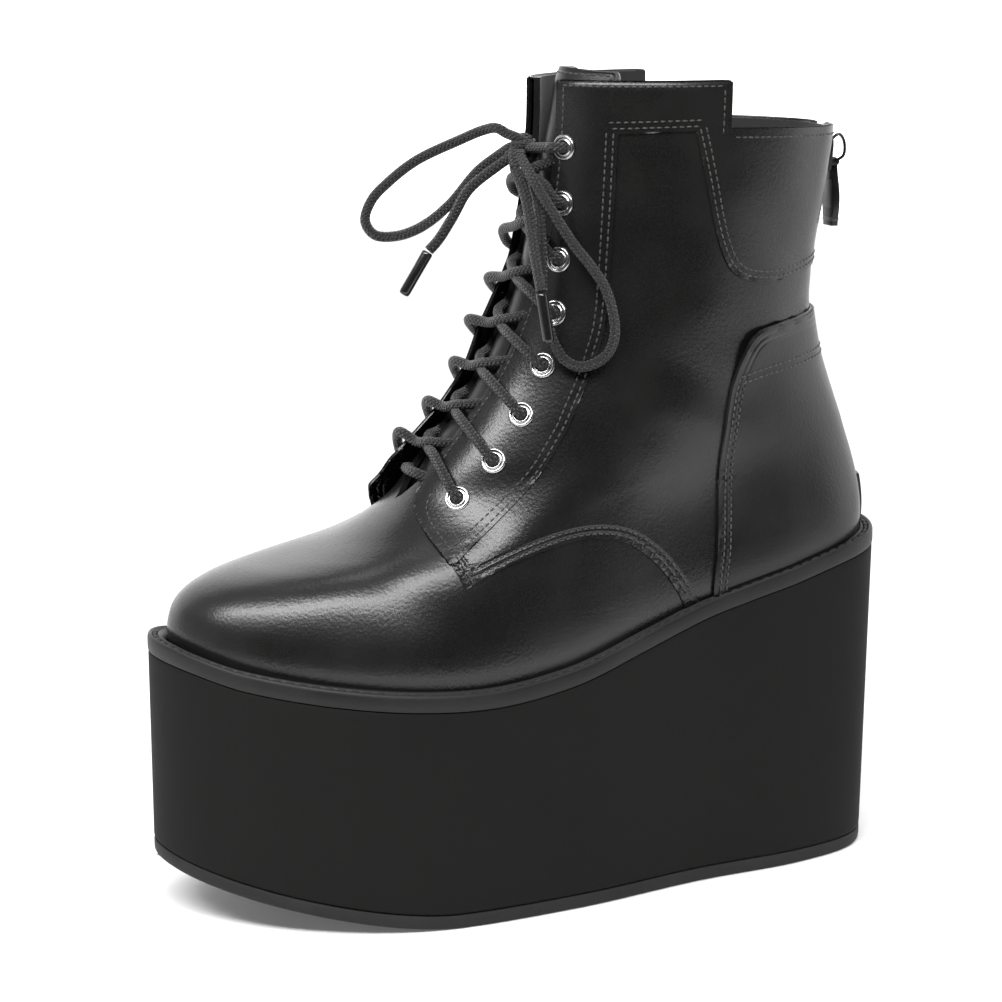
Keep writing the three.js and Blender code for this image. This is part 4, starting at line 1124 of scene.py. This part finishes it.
def laceStrand(n, side, hump):
    spot, normal = eyeletSpot(n, side)
    low, high = edgeRow(n, side), edgeRow(n - 1, side)
    row = lambda f: low + (high - low) * f
    edgeLift = strands["overEdge"] + hump * 0.4
    if side < 0:
        edgeLift += np.interp(nearMiddle(row(0.28), side, 1, 0)[2], flare["z"], flare["lift"])
    # share of the way up to the next eyelet, side, share of the half channel, height
    steps = [
        (0.42, side, 0.4, hump * 0.8 + 0.8), (0.56, -side, 0.25, hump), (0.7, -side, 0.75, -0.1),
        (0.82, -side, 1.15, -2.3), (0.92, -side, 1.5, -3.0),
    ]
    route = fromEyelet(spot, normal, nearMiddle(row(0.28), side, 1, edgeLift), strands["lift"] * 0.72)
    return route + [nearMiddle(row(f), way, share, strands["inChannel"] + up) for f, way, share, up in steps]


def fromEyelet(spot, normal, over, lift):
    # out of an eyelet and over the facing's edge
    ahead = (over - spot) / np.linalg.norm(over - spot)
    climb = [(-2.6, -0.6), (0.6, 0.2), (lift, 2.6)]
    return [spot + normal * up + ahead * on for up, on in climb] + [over]


def makeLaces():
    bm = bmesh.new()
    for n in range(1, 8):
        for side, hump in ((1, 0), (-1, strands["hump"])):
            addLace(bm, laceStrand(n, side, hump))
    low = edgeRow(7, 1) - 0.25
    bar = [(1, 1.3, -1.8), (1, 0.7, 0.5), (0.4, 0.28, 1.2), (-0.4, 0.28, 1.2), (-1, 0.7, 0.5), (-1, 1.3, -1.8)]
    addLace(bm, [nearMiddle(low, s, abs(s) * k, strands["inChannel"] - 0.3 + d) for s, k, d in bar])
    middle = np.array(knot["middle"], float)
    for side, more in ((1, 0), (-1, 1.5)):
        over = nearMiddle(edgeRow(0, side), side, 1, strands["overEdge"] + more)
        addLace(bm, [*fromEyelet(*eyeletSpot(0, side), over, 2.2), middle + (side * 3.6, 0.4, 0.2), middle])
    nodes = [f"lace_crossing_{n}" for n in range(1, 8)] + ["lace_bottom_bar", "lace_top_outer", "lace_top_inner"]
    onBody(finishPiece("lacing", bm, [waxedBraid]), "lace_cord", *nodes)


makeEyelets()
makeLaces()
print("laced")

# ---- back: stay, zip and pull ----
zipper = {"top": 262.5, "bottom": 138, "tape": 8.6, "pitch": 1.55, "teethTop": 243, "tooth": (2.3, 1.1, 0.66)}
backStay = {"top": 136.5, "bottom": 119.0, "half": 11.0, "thick": 1.6}


def backRow(z):
    # the row at which the last's back line is at a height
    return halve(len(z), topRow, z, lambda r: onLast(r, math.pi)[:, 2])


def makeBackStay():
    bottom, top, half = backStay["bottom"], backStay["top"], backStay["half"]

    def onBack(x, z, out):
        row = backRow(z)
        outer, inner = (facing(backSpots(row, np.maximum(np.abs(x), 0.01), side)[:, 0], side) for side in (1, -1))
        return skin(row, np.where(x >= 0, outer, inner), out)
    bm = bmesh.new()
    place = lambda u, v: onBack((2 * u - 1) * half, bottom + (top - bottom) * v, leather["stayTop"])
    share = layGrid(bm, 20, 14, place)
    markEdge(bm, np.minimum(np.minimum(share[:, 0], 1 - share[:, 0]) * 22, (1 - share[:, 1]) * 17))
    turnFaces(bm, (0, 1, 0))
    piece = thicken(finishPiece("backStayLeather", bm, [heelLeather]), backStay["thick"])
    soft = piece.modifiers.new("soft edge", "BEVEL")
    soft.width, soft.segments = 0.3 * mm, 2
    onBody(bakeDown(piece), "leather", "back_stay")
    x = np.linspace(-9.5, 9.5, 16)
    sewRow(onBack(x, np.full(16, top - 1.6), leather["stayTop"] + stitches["proud"]), (0.0, 1.0, 0.15))


def backLine(z, out):
    return offLast(backRow(z), math.pi, out)


def makeZip():
    def place(u, v):
        p = backLine(zipper["bottom"] + (zipper["top"] - zipper["bottom"]) * v, 0.0)
        p[:, 0] = (2 * u - 1) * zipper["tape"] / 2
        p[:, 1] += 0.75 - 0.25 * np.abs(2 * u - 1)
        return p
    tape = thicken(lofted("zipTapes", 8, 80, place, [zipTape]), 0.8)
    if sum(p.normal.y for p in tape.data.polygons) < 0:
        tape.data.flip_normals()
    onBody(bakeDown(tape), "zip_metal")
    teeth = bmesh.new()
    for n, z in enumerate(np.arange(zipper["bottom"] + 1, zipper["teethTop"], zipper["pitch"] / 2)):
        p, q = backLine(np.array([z, z + 0.5]), 1.05)
        slope = math.atan2(q[1] - p[1], q[2] - p[2])
        addBox(teeth, (0.55 if n % 2 else -0.55, p[1], p[2]), zipper["tooth"], -slope)
    bmesh.ops.bevel(teeth, geom=teeth.edges[:], offset=0.16 * mm, affect="EDGES", segments=1, profile=0.5, material=-1)
    onBody(finishPiece("zipTeeth", teeth, [zipBlack]), "zip_metal", "zip_chain")


def softCopy(node, name, paint, width, slot, body):
    # a merged copy of a node with its edges rounded
    bm = bmesh.new()
    bm.from_mesh(frame["nodes"][node].data)
    bmesh.ops.remove_doubles(bm, verts=bm.verts, dist=1e-6)
    bmesh.ops.dissolve_limit(bm, angle_limit=math.radians(4), verts=bm.verts, edges=bm.edges)
    edges = [e for e in bm.edges if len(e.link_faces) == 2 and e.calc_face_angle(0) > math.radians(30)]
    bmesh.ops.bevel(bm, geom=edges, offset=width * mm, offset_type="OFFSET", affect="EDGES", segments=2, profile=0.5,
        material=-1, clamp_overlap=True)
    bmesh.ops.triangulate(bm, faces=[f for f in bm.faces if len(f.verts) > 4])
    bmesh.ops.recalc_face_normals(bm, faces=bm.faces)
    return onBody(finishPiece(name, bm, [paint], 32), slot, node, body=body)


def makeSlider():
    softCopy("zip_slider", "sliderBody", zipBlack, 0.22, "zip_metal", "boot")
    low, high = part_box("zip_slider")
    top = high.z / mm
    pivot = np.array(frame["joints"][0]["pos_m"]) / mm
    # the bail arches over the pull's eye, wide enough for the pull to swing up between its wires
    arch = [(2.9, low.y / mm + 1.2, top - 1.2), (4.3, pivot[1] + 0.3, top + 0.9), (4.5, pivot[1] + 2.2, top - 1.4),
        (4.6, pivot[1] + 2.2, top - 6.5), (3.2, pivot[1] + 0.5, pivot[2] + 0.5)]
    bm = bmesh.new()
    for side in (-1, 1):
        addCordTube(bm, evenly(smoothLine([(side * x, y, z) for x, y, z in arch], 0.3), 0.4) * mm, 0.55 * mm, 8)
    onBody(finishPiece("sliderBail", bm, [zipBlack]), "zip_metal")


def makePull():
    softCopy("zip_pull", "pullTab", pullBlack, 0.32, "pull_metal", "zip_pull")
    low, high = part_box("zip_pull")
    middle, end = (low.y + high.y) / 2 / mm, low.z / mm
    bm = bmesh.new()
    for up, size in ((2.4, (7.1, 2.75, 1.3)), (11.4, (5.2, 2.7, 10.0))):
        addBox(bm, (0, middle, end + up), size)
    bmesh.ops.bevel(bm, geom=bm.edges[:], offset=0.2 * mm, affect="EDGES", segments=2, profile=0.5, material=-1)
    onBody(finishPiece("pullInlay", bm, [pullInlay]), "pull_metal", body="zip_pull")


makeBackStay()
makeZip()
makeSlider()
makePull()
print("back done")

# ---- threads ----
def makeStitches(name, kind, long, wide, high, paint):
    bm = bmesh.new()
    bmesh.ops.create_uvsphere(bm, u_segments=8, v_segments=6, radius=1)
    for v in bm.verts:  # a short fat thread that dives in at both ends
        reach = v.co.z
        v.co = Vector((reach * long / 2, v.co.y * wide / 2, v.co.x * high / 2 - abs(reach) ** 3 * high * 0.55)) * mm
    sewn = bmesh.new()
    addCopies(sewn, bm, stitchPlaces[kind])
    bmesh.ops.recalc_face_normals(sewn, faces=sewn.faces)
    print(name, len(stitchPlaces[kind]), "stitches")
    onBody(finishPiece(name, sewn, [paint], 80), "lace_cord")


makeStitches("seamThreads", "fine", 2.0, 0.62, 0.6, thread)
makeStitches("weltThreads", "rope", 4.9, 1.7, 1.5, ropeThread)

# ---- studio ----
studio = {"air": (0.36, 0.015), "paper": 0.84, "floor": 0.1, "wall": 1.3, "darkSide": -14, "middle": (0, 0, 0.15)}
# turn and rise in degrees, distance, width, height, power
lamps = {"overhead": (-42, 50, 1.25, 1.7, 0.3, 29), "rightSide": (78, 12, 1.5, 0.8, 0.9, 3.5),
    "topFill": (120, 78, 1.4, 1.0, 0.8, 5.5)}


def softBox(name, turn, rise, far, wide, tall, power):
    # a lamp round the boot, looking at its middle
    turn, rise = math.radians(turn), math.radians(rise)
    middle = Vector(studio["middle"])
    place = middle + far * Vector((math.cos(turn) * math.cos(rise), math.sin(turn) * math.cos(rise), math.sin(rise)))
    lamp = bpy.data.lights.new(name, "AREA")
    lamp.shape, lamp.size, lamp.size_y, lamp.energy = "RECTANGLE", wide, tall, power
    box = bpy.data.objects.new(name, lamp)
    box.location = place
    box.rotation_euler = (middle - place).to_track_quat("-Z", "Y").to_euler()
    scene.collection.objects.link(box)


def studioPaper(name, glow):
    paper, tree, shader = newPaint(name, specular_ior_level=0.1, roughness=0.9)
    shader.inputs["Base Color"].default_value = (studio["paper"],) * 3 + (1,)
    shader.inputs["Emission Color"].default_value = (1, 1, 1, 1)
    shader.inputs["Emission Strength"].default_value = glow
    return paper


def makeStudio():
    # the floor and the wall face the camera; the side behind the camera is left dark
    away = Matrix.Rotation(math.radians(-camera["turn"]), 4, "Z")
    floor = Matrix.Translation((-5.5, 0, 0)) @ Matrix.Diagonal(Vector((6, 12, 1, 1)))
    wall = Matrix.Translation((-2.1, 0, 1.5)) @ Matrix.Rotation(math.radians(90), 4, "Y")
    wall = wall @ Matrix.Diagonal(Vector((1.5, 4.5, 1, 1)))
    for word, place in (("floor", floor), ("wall", wall)):
        bm = bmesh.new()
        bmesh.ops.create_grid(bm, x_segments=1, y_segments=1, size=1, matrix=away @ place)
        finishPiece("studio" + word.title(), bm, [studioPaper(word + " paper", studio[word])])
    world = bpy.data.worlds.new("studio air")
    world.use_nodes = True
    tree = world.node_tree
    toDark = tree.nodes.new("ShaderNodeVectorMath")
    toDark.operation = "DOT_PRODUCT"
    dark = math.radians(studio["darkSide"])
    toDark.inputs[1].default_value = (math.cos(dark), math.sin(dark), 0.1)
    tree.links.new(tree.nodes.new("ShaderNodeTexCoord").outputs["Generated"], toDark.inputs[0])
    air = rangeNode(tree, toDark.outputs["Value"], 0.3, 0.85, *studio["air"], True)
    tree.links.new(air, tree.nodes["Background"].inputs[1])
    tree.nodes["Background"].inputs[0].default_value = (1, 1, 1, 1)
    scene.world = world
    for name, lamp in lamps.items():
        softBox(name, *lamp)
    scene.view_settings.view_transform = "Standard"


makeStudio()
